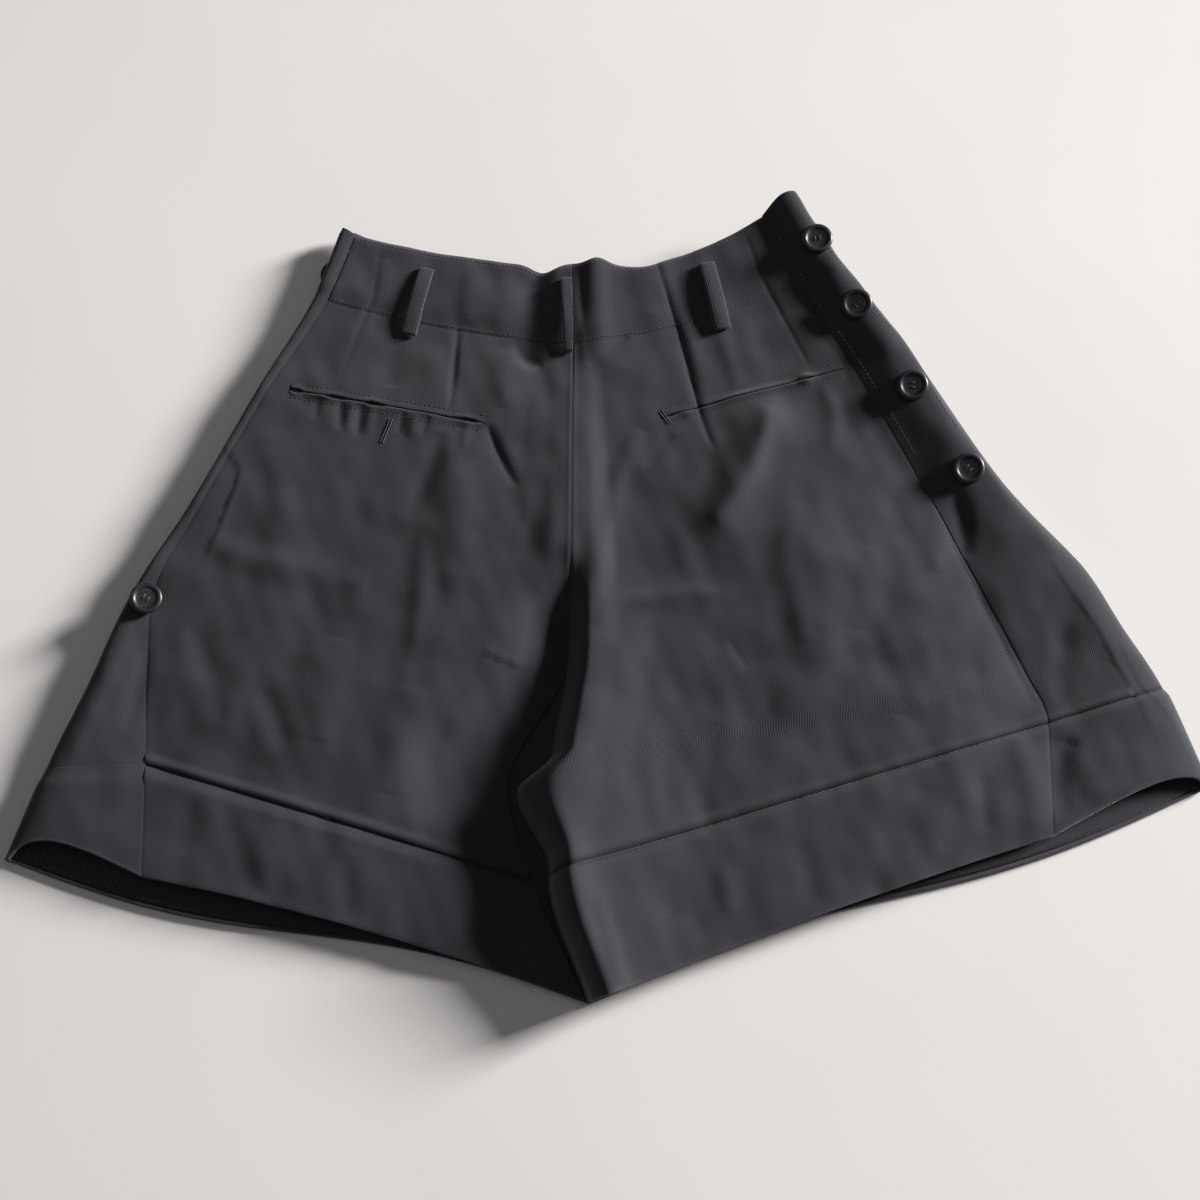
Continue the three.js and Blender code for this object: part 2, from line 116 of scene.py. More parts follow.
# How the cloth lies. A soft fold is round across and a pinch is sharp. A pleat is high to the right of the way
# its points run and drops sharply at its line. Each row is: kind, width, rise (a trough's is negative), then its
# points in plan.
drape = {
    "main folds": [
        ("fold", 8, -2.2, (-41, 230), (-47, 164)),
        ("fold", 9, 1.7, (-4, 232), (0, 164)),
        ("fold", 14, 4.4, (110, 118), (78, 50)),
        ("fold", 20, 3, (138, 36), (138, -34)),
        ("fold", 14, 2, (-95, 92), (-93, 14)),
        ("fold", 18, -1.4, (-150, 40), (-190, -20)),
    ],
    "valley": [
        ("soft", 8, 1.2, (-34, -14), (-41, -60), (-56, -105)),
        ("soft", 3.4, -7, (-42, -108), (-37, -122), (-32, -146)),
    ],
    "left back": [
        ("soft", 2.4, -1, (-95, 188), (-97, 155), (-99, 126)),
        ("soft", 2.4, -0.45, (-149, 247), (-153, 209), (-158, 195), (-172, 150)),
        ("pinch", 2, -2, (-74, 114), (-66, 94), (-54, 70)),
        ("soft", 8, -1.1, (-104, 108), (-112, 81), (-124, 50)),
        ("soft", 7, 1, (-116, 38), (-113, 5), (-120, -44)),
        ("soft", 9, 1.3, (-254, 37), (-226, 24), (-180, 13), (-148, 5)),
        ("pleat", 7, 1, (-256, 22), (-249, 38), (-242, 60), (-236, 84), (-249, 102)),
        ("pleat", 6, 1.3, (-41, -50), (-58, -45), (-75, -38)),
        ("soft", 3, -0.9, (-171, 133), (-172, 112)),
        ("soft", 3, 0.7, (-164, 131), (-166, 110)),
        ("soft", 3, -0.9, (-157, 130), (-160, 107)),
        ("soft", 3, 0.6, (-150, 128), (-153, 108)),
        ("soft", 3, -0.6, (-186, 136), (-188, 119)),
        ("soft", 2.6, -0.7, (-129, 124), (-133, 109)),
        ("soft", 3, 0.6, (-121, 122), (-125, 106)),
        ("soft", 2.6, -0.7, (-113, 121), (-117, 106)),
        ("soft", 3, 0.6, (-86, 116), (-90, 98)),
        ("soft", 8, -1, (-262, -20), (-244, -58), (-238, -84)),
        ("soft", 12, 1.2, (-216, 112), (-206, 60), (-210, 18)),
        ("soft", 14, 1.4, (-166, -30), (-176, -96)),
        ("soft", 9, -0.9, (-214, -62), (-196, -100)),
        ("soft", 7, 0.9, (-40, 150), (-42, 92), (-46, 44)),
        ("soft", 8, 0.9, (-64, 168), (-62, 126)),
        ("soft", 16, 1.3, (-120, -60), (-132, -128)),
        ("soft", 10, -0.9, (-136, 176), (-140, 142)),
    ],
    "right back": [
        ("pinch", 1.5, -1.4, (37, 236), (48, 196), (54, 174), (67, 118), (75, 96)),
        ("soft", 5, 0.5, (41, 236), (53, 196), (60, 174), (72, 122)),
        ("soft", 2, -0.8, (98, 251), (106, 227), (113, 210), (119, 197), (139, 154)),
        ("soft", 7, 1.5, (27, 110), (13, 82), (5, 46), (-3, -6)),
        ("soft", 6, 1.5, (111, 126), (104, 95), (91, 70), (72, 48)),
        ("soft", 4, -0.9, (48, 107), (38, 96), (28, 86)),
        ("soft", 6, 1, (147, 141), (155, 119), (149, 96)),
        ("soft", 9, 1.2, (126, 60), (120, 30), (126, -4), (130, -34)),
        ("soft", 12, 1, (174, 30), (168, 0), (166, -24)),
        ("soft", 8, 1, (215, 62), (218, 40), (216, 14)),
        ("soft", 7, 1.3, (-2, -22), (12, -6), (34, -4), (60, 0), (86, -3)),
        ("soft", 12, -1, (90, -46), (164, -44), (244, -49)),
        ("soft", 12, 1, (108, -72), (163, -70), (224, -72)),
        ("pinch", 2, -0.8, (81, -30), (87, -40), (93, -50)),
        ("soft", 8, 0.8, (28, -90), (34, -124), (36, -154)),
        ("soft", 8, -0.9, (74, -84), (66, -124), (66, -156)),
        ("soft", 10, 0.9, (188, -80), (184, -112)),
        ("soft", 6, 0.7, (66, 236), (82, 176), (90, 140)),
    ],
    "right side": [
        ("soft", 6, -2, (229, 70), (235, 48), (236, 24)),
        ("soft", 8, 1.6, (253, 84), (268, 63), (286, 40), (296, 28)),
        ("pinch", 2.4, -0.9, (222, 45), (240, 5), (256, -30), (275, -72)),
        ("pleat", 13, 0.6, (350, -96), (336, -62), (328, -47), (317, -23), (298, 7), (290, 22)),
        ("pleat", 10, 0.5, (368, -106), (358, -79), (342, -59), (330, -30)),
        ("soft", 8, -0.9, (300, -2), (294, -34), (291, -70)),
        ("soft", 8, -1.2, (289, -92), (287, -113), (287, -142)),
        ("pinch", 3, -1.2, (291, -93), (300, -100)),
        ("soft", 9, 1.3, (262, -92), (268, -120), (272, -150)),
        ("soft", 7, 1, (300, -128), (328, -126), (352, -114), (368, -106)),
    ],
    "band": [
        ("soft", 3, -0.7, (-13, 226), (-12, 205), (-11, 180)),
        ("soft", 4, -1, (19, 177), (3, 164), (-8, 156)),
        ("soft", 4, -1, (-58, 176), (-50, 162), (-38, 156)),
        ("soft", 9, 0.8, (-62, 236), (-66, 180)),
        ("soft", 7, 0.8, (-88, 232), (-90, 188)),
        ("soft", 10, -0.8, (50, 236), (56, 190)),
        ("soft", 9, 0.8, (26, 238), (33, 190)),
        ("soft", 8, 0.7, (-146, 236), (-152, 200)),
    ],
    "left side": [
        ("soft", 6, 1, (-300, -20), (-318, -70), (-336, -120)),
        ("soft", 6, -1, (-288, -36), (-298, -90)),
    ],
    "cuffs": [
        ("soft", 5, 1, (-2, -190), (5, -214), (12, -244)),
        ("soft", 7, -0.8, (40, -176), (44, -206)),
        ("soft", 7, 0.8, (74, -170), (80, -202)),
        ("soft", 8, -0.8, (122, -158), (130, -198)),
        ("soft", 9, 0.9, (200, -128), (208, -168)),
        ("soft", 7, -0.9, (236, -116), (240, -152)),
        ("soft", 9, 0.9, (-210, -148), (-204, -188)),
        ("soft", 8, -0.9, (-158, -166), (-152, -206)),
        ("soft", 9, -0.8, (-258, -130), (-256, -166)),
        ("soft", 10, 0.8, (-96, -176), (-90, -220)),
    ],
    # Dimples and humps: radius, rise, place.
    "spots": [
        (9, -1.6, (145, 241)), (9, -1.6, (171, 195)), (10, -1.8, (205, 138)), (10, -2, (239, 81)),
        (8, 1.4, (158, 222)), (8, 1.4, (190, 168)), (9, 1.4, (224, 108)),
        (4, 0.8, (57, 122)), (5, 0.9, (135, 146)),
        (10, -1, (-198, 136)), (14, 1.2, (-300, 24)), (12, -1.1, (-288, 0)),
    ],
}
print("tables read:", sum(len(rows) for rows in drape.values()), "folds and dimples")

clothSizes = {
    "thickness": 1.3,
    "underFold": 0.14,
    "underEdge": 0.42,
    "raiseFlat": 26,
    "raiseReach": 50,
    "foldPull": 0.6,
    "seamGap": 0.3,
    "centreGap": 0.04,
    "seamShare": 0.0006,
    "rimRound": 0.42,
}
bandSizes = {"thickness": 2.2, "puff": 0.5}
cuffSizes = {"thickness": 1.3, "lip": 1.4, "length": 70}
skin = clothSizes["thickness"] / 2
onCloth = skin + clothSizes["seamGap"]
cuffOuter = onCloth + cuffSizes["thickness"]


def mix(a, b, t):
    return a + (b - a) * t


def ramp(x, low, high):
    t = np.clip((x - low) / (high - low), 0, 1)
    return t * t * (3 - 2 * t)


def bezier(a, b, c, d, t):
    s = 1 - t
    return s * s * s * a + 3 * s * s * t * b + 3 * s * t * t * c + t * t * t * d


# A smooth curve through the values at the stops, read at any number of places.
def smoothCurve(stops, values, at):
    stops = np.asarray(stops, float)
    values = np.asarray(values, float)
    at = np.asarray(at, float)
    if values.ndim == 1:
        values = values.reshape((-1,) + (1,) * at.ndim)
    shape = np.broadcast_shapes(at.shape, values.shape[1:])
    at = np.broadcast_to(at, shape)
    values = np.broadcast_to(values, (len(stops),) + shape)
    rates = np.diff(values, axis=0) / np.diff(stops).reshape((-1,) + (1,) * len(shape))
    slopes = np.empty_like(values)
    slopes[0], slopes[-1] = rates[0], rates[-1]
    product = rates[:-1] * rates[1:]
    total = np.where(product > 0, rates[:-1] + rates[1:], 1)
    slopes[1:-1] = np.where(product > 0, 2 * product / total, 0)
    i = np.clip(np.searchsorted(stops, at, side="left") - 1, 0, len(stops) - 2)
    valueLow, valueHigh = (np.take_along_axis(values, (i + k)[None], axis=0)[0] for k in (0, 1))
    slopeLow, slopeHigh = (np.take_along_axis(slopes, (i + k)[None], axis=0)[0] for k in (0, 1))
    step = (stops[1:] - stops[:-1])[i]
    t = (at - stops[i]) / step
    lead = t * (1 - t) ** 2 * slopeLow - t * t * (1 - t) * slopeHigh
    return valueLow + (valueHigh - valueLow) * (3 - 2 * t) * t * t + lead * step


def readRow(half, v):
    names = planNames + heightNames
    return {name: smoothCurve(range(8), half["table"][:, i], v) for i, name in enumerate(names)}


# A fold's points joined by a round curve, so that none of them shows as a corner.
def roundLine(points):
    points = np.array(points, float)
    if len(points) < 3:
        return points
    ends = [2 * points[0] - points[1], *points, 2 * points[-1] - points[-2]]
    line = []
    for a, b, c, d in zip(ends, ends[1:], ends[2:], ends[3:]):
        for t in (0, 0.25, 0.5, 0.75):
            line.append(0.5 * (2 * b + (c - a) * t + (2 * a - 5 * b + 4 * c - d) * t * t
                               + (3 * b - a - 3 * c + d) * t ** 3))
    return np.array(line + [points[-1]])


def makeFolds():
    made = []
    for group, rows in drape.items():
        if group == "spots":
            continue
        for kind, width, rise, *points in rows:
            line = roundLine(points)
            made.append({"kind": kind, "width": width, "rise": rise, "line": line,
                         "low": line.min(axis=0) - 3.2 * width, "high": line.max(axis=0) + 3.2 * width})
    return made


folds = makeFolds()


# Loosely laid cloth is never flat: long low waves cross it in all directions.
clothWaves = {"count": 26, "shortest": 16, "longest": 70, "slope": 0.013}


def makeWaves():
    size = clothWaves
    waves = []
    for length in np.geomspace(size["shortest"], size["longest"], size["count"]):
        turn, start = random.uniform(0, math.pi), random.uniform(0, 2 * math.pi)
        waves.append((2 * math.pi / length * math.cos(turn), 2 * math.pi / length * math.sin(turn), start,
                      size["slope"] * length / (2 * math.pi)))
    return waves


waves = makeWaves()


def foldHeight(x, y):
    rise = sum(high * np.sin(kx * x + ky * y + start) for kx, ky, start, high in waves)
    for fold in folds:
        low, high = fold["low"], fold["high"]
        near = (x > low[0]) & (x < high[0]) & (y > low[1]) & (y < high[1])
        if not near.any():
            continue
        px, py = x[near], y[near]
        line = fold["line"]
        best = np.full(px.shape, 1e9)
        side = np.zeros(px.shape)
        along = np.zeros(px.shape)
        for k in range(len(line) - 1):
            (ax, ay), (bx, by) = line[k], line[k + 1]
            dx, dy = bx - ax, by - ay
            t = np.clip(((px - ax) * dx + (py - ay) * dy) / (dx * dx + dy * dy), 0, 1)
            away = np.hypot(px - ax - t * dx, py - ay - t * dy)
            closer = away < best
            best = np.where(closer, away, best)
            side = np.where(closer, dx * (py - ay) - dy * (px - ax), side)
            along = np.where(closer, (k + t) / (len(line) - 1), along)
        # The folds beside the main ones run out softly towards both ends.
        fade = np.sqrt(np.sin(np.pi * np.clip(along, 0.0, 1)) + 1e-9)
        width = fold["width"] * (0.6 + 0.4 * fade)
        if fold["kind"] == "fold":
            shape = np.exp(-(best / fold["width"]) ** 2)
        elif fold["kind"] == "soft":
            shape = fade * np.exp(-(best / width) ** 2)
        elif fold["kind"] == "pinch":
            shape = fade * (np.exp(-best / width) * 0.7 + 0.3 * np.exp(-(best / (2.4 * width)) ** 2))
        else:
            beside = np.where(side > 0, -best, best)
            shape = fade * np.exp(-np.maximum(beside, 0) / width) * ramp(beside, -0.9, 0.5)
        rise[near] += fold["rise"] * shape
    for radius, height, (sx, sy) in drape["spots"]:
        rise += height * np.exp(-((x - sx) ** 2 + (y - sy) ** 2) / radius ** 2)
    return rise


def floorHeight(v):
    cuff = rowAt["cuff"]
    return skin + (cuffSizes["thickness"] + clothSizes["seamGap"]) * ramp(v, cuff - 0.3, cuff - 0.05)


# The waist's rim waves in plan, and the right leg's inner edge stands up, with a lobe towards the left leg.
rimWaves = [(-38, 11, -6.5), (-1, 9, 4.5), (30, 12, -2.5), (-62, 12, -1)]
innerLobe = {"out": 21, "rows": (4.9, 5.25, 5.95), "reach": 0.1}
innerRise = {"height": 5, "rows": (4.6, 5.6)}


def rimShift(x, v):
    shift = sum(rise * np.exp(-((x - place) / width) ** 2) for place, width, rise in rimWaves)
    return shift * (1 - ramp(v, 0, 0.7))


def lobeShift(u, v):
    low, peak, high = innerLobe["rows"]
    return innerLobe["out"] * ramp(v, low, peak) * (1 - ramp(v, peak, high)) * (1 - ramp(u, 0, innerLobe["reach"]))


# The surface of one half: u runs from the back seam (0) over the side seam (1) and the outer fold (2) to the
# front seam on the floor (3), v from the waist (0) to the hem (7).
def surfacePoint(half, u, v):
    u, v = np.asarray(u, float), np.asarray(v, float)
    r = readRow(half, v)
    a = np.clip(u, 0, 1)
    x = mix(r["cx"], r["sx"], a)
    y = mix(r["cy"], r["sy"], a) + 4 * a * (1 - a) * r["bow"]
    z = smoothCurve(heightStops, np.array([r[f"z{k}"] for k in range(8)]), a)

    t = np.clip(u - 1, 0, 1)
    pull = clothSizes["foldPull"]
    margin = u > 1
    x = np.where(margin, bezier(r["sx"], mix(r["sx"], r["kx"], pull), r["kx"], r["ex"], t), x)
    y = np.where(margin, bezier(r["sy"], mix(r["sy"], r["ky"], pull), r["ky"], r["ey"], t), y)
    z = np.where(margin, bezier(r["z7"], (r["z7"] + r["shoulder"]) / 2, r["shoulder"], r["edge"], t), z)
    upper = u < 2
    if upper.any():
        share = np.where(margin, 1 - t * t, ramp(a, 0, 0.05) + 0 * t)
        z = np.where(upper, z + foldHeight(x, y) * share, z)
        if half["outwards"] < 0:
            x = x - lobeShift(u, v)
            z = z + innerRise["height"] * ramp(v, *innerRise["rows"]) * ramp(a, 0, 0.02) * (1 - ramp(a, 0.02, 0.1))
        y = np.where(upper & ~margin, y + rimShift(x, v), y)

    if (u > 2).any():
        k = np.clip(u - 2, 0, 1)
        underFold, underEdge = clothSizes["underFold"], clothSizes["underEdge"]
        flat, reach = clothSizes["raiseFlat"], clothSizes["raiseReach"]
        wide = np.hypot(r["fx"] - r["ex"], r["fy"] - r["ey"])
        ux = r["ex"] + r["edge"] * (r["fx"] - r["ex"]) / wide
        uy = r["ey"] + r["edge"] * (r["fy"] - r["ey"]) / wide
        floor = floorHeight(v)
        turn = np.clip(k / underFold, 0, 1) * np.pi / 2
        inwards = 1 - np.cos(turn)
        lowest = floor + r["under"]
        bent = [mix(r["ex"], ux, inwards), mix(r["ey"], uy, inwards), mix(r["edge"], lowest, np.sin(turn))]
        width = np.hypot(r["fx"] - ux, r["fy"] - uy)
        near = (k - underFold) / (underEdge - underFold)
        far = (k - underEdge) / (1 - underEdge)
        away = np.where(near < 1, near * reach, mix(reach, width, far))
        t = away / width
        bend = 4 * t * (1 - t) * r["sag"] + r["wave"] * np.sin(2 * np.pi * t)
        px, py = mix(ux, r["fx"], t), mix(uy, r["fy"], t) + bend
        raised = r["under"] * (1 - ramp(away, flat, reach))
        flatPart = [px, py, floor + raised]
        under = u > 2
        onFold = k < underFold
        x, y, z = (np.where(under, np.where(onFold, b, f), p) for b, f, p in zip(bent, flatPart, (x, y, z)))
    share = np.where(u <= 1, 1 - u, np.clip(u - 2, 0, 1))
    x = x - half["outwards"] * (clothSizes["centreGap"] / 2) * np.clip(share, 0, 1)
    return np.stack(np.broadcast_arrays(x, y, z), axis=-1)


# Points of a half and the directions in which its outer side faces.
def surfaceFrame(half, u, v):
    u, v = np.broadcast_arrays(np.asarray(u, float), np.asarray(v, float))
    du, dv = 0.004, 0.01
    across = surfacePoint(half, np.minimum(u + du, 3), v) - surfacePoint(half, np.maximum(u - du, 0), v)
    down = surfacePoint(half, u, np.minimum(v + dv, 7)) - surfacePoint(half, u, np.maximum(v - dv, 0))
    normal = np.cross(across, down) * half["outwards"]
    normal[..., 0] *= ramp(u, 0, 0.03) * (1 - ramp(u, 2.97, 3))
    normal /= np.linalg.norm(normal, axis=-1, keepdims=True)
    return surfacePoint(half, u, v), normal


# Finds u and v of places in plan on the upper layer.
def locate(half, x, y):
    x, y = np.atleast_1d(np.asarray(x, float)), np.atleast_1d(np.asarray(y, float))
    us, vs = np.meshgrid(np.arange(0.05, 1.95, 0.1), np.arange(0.1, 7, 0.25), indexing="ij")
    guess = surfacePoint(half, us.ravel(), vs.ravel())
    nearest = np.argmin((guess[:, 0] - x[..., None]) ** 2 + (guess[:, 1] - y[..., None]) ** 2, axis=-1)
    u, v = us.ravel()[nearest], vs.ravel()[nearest]
    h = 0.001
    for _ in range(12):
        p = surfacePoint(half, u, v)
        pu = (surfacePoint(half, u + h, v) - p) / h
        pv = (surfacePoint(half, u, v + h) - p) / h
        area = pu[..., 0] * pv[..., 1] - pu[..., 1] * pv[..., 0]
        ex, ey = x - p[..., 0], y - p[..., 1]
        u = np.clip(u + (ex * pv[..., 1] - ey * pv[..., 0]) / area, 0, 1.97)
        v = np.clip(v + (ey * pu[..., 0] - ex * pu[..., 1]) / area, 0.001, 6.999)
    return u, v


centreSeam = -18.4


def halfAt(x):
    return halves["left"] if x < centreSeam else halves["right"]


# Shader maths is written as expressions on sockets.
class Signal:
    def __init__(self, finish, socket):
        self.finish = finish
        self.socket = socket

    def math(self, operation, *values):
        return self.finish.node("Math", {"operation": operation}, dict(enumerate(values)))

    def __add__(self, other):
        return self.math("ADD", self, other)

    def __radd__(self, other):
        return self.math("ADD", other, self)

    def __sub__(self, other):
        return self.math("SUBTRACT", self, other)

    def __rsub__(self, other):
        return self.math("SUBTRACT", other, self)

    def __mul__(self, other):
        return self.math("MULTIPLY", self, other)

    def __rmul__(self, other):
        return self.math("MULTIPLY", other, self)


class Finish:
    def __init__(self, name, fixed):
        self.material = bpy.data.materials.new(name)
        self.material.use_nodes = True
        self.tree = self.material.node_tree
        self.shader = self.tree.nodes["Principled BSDF"]
        for socket, value in fixed.items():
            self.shader.inputs[socket].default_value = value

    def feed(self, socket, value):
        if isinstance(value, Signal):
            self.tree.links.new(value.socket, socket)
        else:
            socket.default_value = value

    # Any node: its type, its settings first, then the values or links of its sockets.
    def node(self, kind, settings=None, sockets=None, out=0):
        made = self.tree.nodes.new("ShaderNode" + kind)
        for name, value in (settings or {}).items():
            if name == "stops":
                while len(made.color_ramp.elements) < len(value):
                    made.color_ramp.elements.new(0.5)
                for element, (place, color) in zip(made.color_ramp.elements, value):
                    element.position = place
                    element.color = color
            else:
                setattr(made, name, value)
        for name, value in (sockets or {}).items():
            self.feed(made.inputs[name], value)
        return Signal(self, made.outputs[out])

    def noise(self, where, scale, detail=2, rough=0.5, distort=0):
        sockets = {"Vector": where, "Scale": scale, "Detail": detail, "Roughness": rough, "Distortion": distort}
        return self.node("TexNoise", {}, sockets)

    def blend(self, factor, a, b):
        settings = {"data_type": "RGBA", "clamp_factor": True}
        return self.node("Mix", settings, {0: factor, 6: a, 7: b}, out=2)

    def spread(self, value, low, high, lowTo=0.0, highTo=1.0):
        sockets = {"Value": value, "From Min": low, "From Max": high, "To Min": lowTo, "To Max": highTo}
        return self.node("MapRange", {"clamp": True}, sockets)

    def finishWith(self, color=None, roughness=None, height=None, distance=0.0002, strength=1.0):
        if color is not None:
            self.feed(self.shader.inputs["Base Color"], color)
        if roughness is not None:
            self.feed(self.shader.inputs["Roughness"], roughness)
        if height is not None:
            bump = self.node("Bump", {}, {"Height": height, "Distance": distance, "Strength": strength})
            self.feed(self.shader.inputs["Normal"], bump)
        return self.material


twillLook = {
    "dark": (0.0205, 0.0205, 0.0258, 1),
    "light": (0.045, 0.0442, 0.0535, 1),
    "fuzz": (0.085, 0.084, 0.092, 1),
    "pitch": 1.15,
    "lean": 58,
    "sheen": 0.28,
    "depth": 0.00016,
}


# Twill: slanting ribs of floating yarns, each broken by the yarn that crosses it, with loose fibres.
def makeTwill(name, lean, brightness=0.87):
    look = twillLook
    finish = Finish(name, {"Sheen Weight": look["sheen"], "Sheen Roughness": 0.45,
                           "Specular IOR Level": 0.22, "Metallic": 0.0})
    place = finish.node("Attribute", {"attribute_type": "GEOMETRY", "attribute_name": "cut"}, out=1)
    across, along = (finish.node("SeparateXYZ", {}, {0: place}, out=k) for k in (0, 1))
    waver = finish.noise(place, 120, 2)
    slant = math.radians(lean)
    pitch = look["pitch"] * mm
    rib = across * (math.cos(slant) / pitch) + along * (math.sin(slant) / pitch) + waver * 0.5
    ribWave = rib.math("SINE", rib * (2 * math.pi)) * 0.5 + 0.5
    yarn = across * (-math.sin(slant) / (pitch * 1.9)) + along * (math.cos(slant) / (pitch * 1.9)) + rib * 0.5
    yarnWave = yarn.math("SINE", yarn * (2 * math.pi)) * 0.5 + 0.5
    fibre = finish.noise(place, 2600, 3, 0.7)
    slub = finish.noise(place, 420, 3, 0.6)
    weave = ribWave * 0.62 + yarnWave * ribWave * 0.22 + fibre * 0.28

    patch = finish.noise(place, 26, 3, 0.55)
    cloud = finish.noise(place, 9, 2, 0.5)
    tone = finish.spread(weave, 0.15, 0.95) * 0.55 + slub * 0.25 + finish.spread(patch, 0.3, 0.7) * 0.14
    tone = tone + finish.spread(cloud, 0.35, 0.65) * 0.1
    dark = tuple(c * brightness for c in look["dark"][:3]) + (1,)
    light = tuple(c * brightness for c in look["light"][:3]) + (1,)
    color = finish.blend(tone, dark, light)

    # Lint: a few short pale fibres caught in the nap.
    cells = finish.node("TexVoronoi", {"feature": "F1", "distance": "EUCLIDEAN"},
                        {"Vector": place, "Scale": 95, "Randomness": 1}, out=0)
    rare = finish.noise(place, 61, 0)
    lint = finish.spread(cells, 0.035, 0.02) * finish.spread(rare, 0.6, 0.66)
    worn = finish.node("Attribute", {"attribute_type": "GEOMETRY", "attribute_name": "wear"}, out=2)
    fuzz = worn * finish.spread(fibre, 0.42, 0.62)
    color = finish.blend(lint * 0.45 + fuzz * 0.5, color, look["fuzz"])
    # Painted shade: the colour goes nearly black where the deep attribute marks the seam and cuff-edge grooves.
    deep = finish.node("Attribute", {"attribute_type": "GEOMETRY", "attribute_name": "deep"}, out=2)
    color = finish.blend(deep * 0.9, color, (0.003, 0.003, 0.0035, 1))
    roughness = finish.spread(tone, 0.2, 0.8, 0.97, 0.84)
    height = weave * 0.8 + slub * 0.5 + lint * 1.2 + fuzz * 0.5
    return finish.finishWith(color, roughness, height, look["depth"], 0.75)


twillBody = makeTwill("twillBody", twillLook["lean"])
twillTurned = makeTwill("twillTurned", -twillLook["lean"], 0.9)
twillStrip = makeTwill("twillStrip", 20, 0.9)


def makeThread():
    finish = Finish("thread", {"Sheen Weight": 0.2, "Specular IOR Level": 0.35})
    where = finish.node("TexCoord", {}, out=3)
    tone = finish.noise(where, 1800, 2)
    color = finish.blend(finish.spread(tone, 0.3, 0.7), (0.02, 0.02, 0.023, 1), (0.045, 0.044, 0.049, 1))
    return finish.finishWith(color, finish.spread(tone, 0.3, 0.7, 0.6, 0.8), tone, 0.0001, 0.6)


def makeButtonGloss():
    finish = Finish("buttonGloss", {"Coat Weight": 0.15, "Coat Roughness": 0.25, "Specular IOR Level": 0.35})
    where = finish.node("TexCoord", {}, out=3)
    swirl = finish.noise(where, 130, 4, 0.6, 1.2)
    scuff = finish.noise(where, 900, 3, 0.7)
    color = finish.blend(finish.spread(swirl, 0.35, 0.65), (0.007, 0.007, 0.0085, 1), (0.019, 0.018, 0.021, 1))
    roughness = finish.spread(scuff, 0.35, 0.75, 0.34, 0.5)
    return finish.finishWith(color, roughness, scuff, 0.00005, 0.25)


# Painted shade: a near-black finish for the strips in the slits, standing for the shade inside them.
def makeSlitShadeFinish():
    finish = Finish("slitShade", {"Specular IOR Level": 0.1})
    place = finish.node("Attribute", {"attribute_type": "GEOMETRY", "attribute_name": "cut"}, out=1)
    tone = finish.noise(place, 900, 3)
    color = finish.blend(finish.spread(tone, 0.3, 0.7), (0.002, 0.002, 0.0025, 1), (0.005, 0.005, 0.006, 1))
    return finish.finishWith(color, finish.spread(tone, 0.3, 0.7, 0.9, 1), tone, 0.0001, 0.5)


threadFinish = makeThread()
slitShadeFinish = makeSlitShadeFinish()
buttonFinish = makeButtonGloss()
print("finishes made")


def linkMesh(name, points, faces, material, attributes=None):
    mesh = bpy.data.meshes.new(name)
    mesh.from_pydata(((points - centre) * mm).tolist(), [], faces)
    mesh.materials.append(material)
    mesh.polygons.foreach_set("use_smooth", [True] * len(mesh.polygons))
    for key, (kind, values) in (attributes or {}).items():
        layer = mesh.attributes.new(key, kind, "POINT")
        layer.data.foreach_set("vector" if kind == "FLOAT_VECTOR" else "value", np.ascontiguousarray(values).ravel())
    mesh.update()
    piece = bpy.data.objects.new(name, mesh)
    bpy.context.collection.objects.link(piece)
    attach(piece, "root")
    return piece


# Faces of a closed wall: two layers of points and a row of points round the rim between them.
def wallFaces(wide, long):
    def index(i, j, layer):
        return layer * wide * long + i * long + j

    faces = []
    for i in range(wide - 1):
        for j in range(long - 1):
            a, b = i * long + j, (i + 1) * long + j
            faces.append((a, b, b + 1, a + 1))
            faces.append((a + wide * long, a + 1 + wide * long, b + 1 + wide * long, b + wide * long))
    rim = [(i, 0) for i in range(wide)] + [(wide - 1, j) for j in range(1, long)]
    rim += [(i, long - 1) for i in range(wide - 2, -1, -1)] + [(0, j) for j in range(long - 2, 0, -1)]
    first = 2 * wide * long
    for k, (here, there) in enumerate(zip(rim, rim[1:] + rim[:1])):
        a, b = first + k, first + (k + 1) % len(rim)
        faces.append((index(*there, 0), index(*here, 0), a, b))
        faces.append((b, a, index(*here, 1), index(*there, 1)))
    return faces, rim


# Where each point lies on the flat cloth: along the grain from the waist, and across it round the leg.
def cutPlaces(points, start):
    steps = np.linalg.norm(np.diff(points, axis=0), axis=-1)
    across = np.vstack([np.zeros(points.shape[1]), np.cumsum(steps, axis=0)]) + start[None, :]
    return np.stack([across * mm, points[..., 1] * mm, 0 * across], axis=-1)


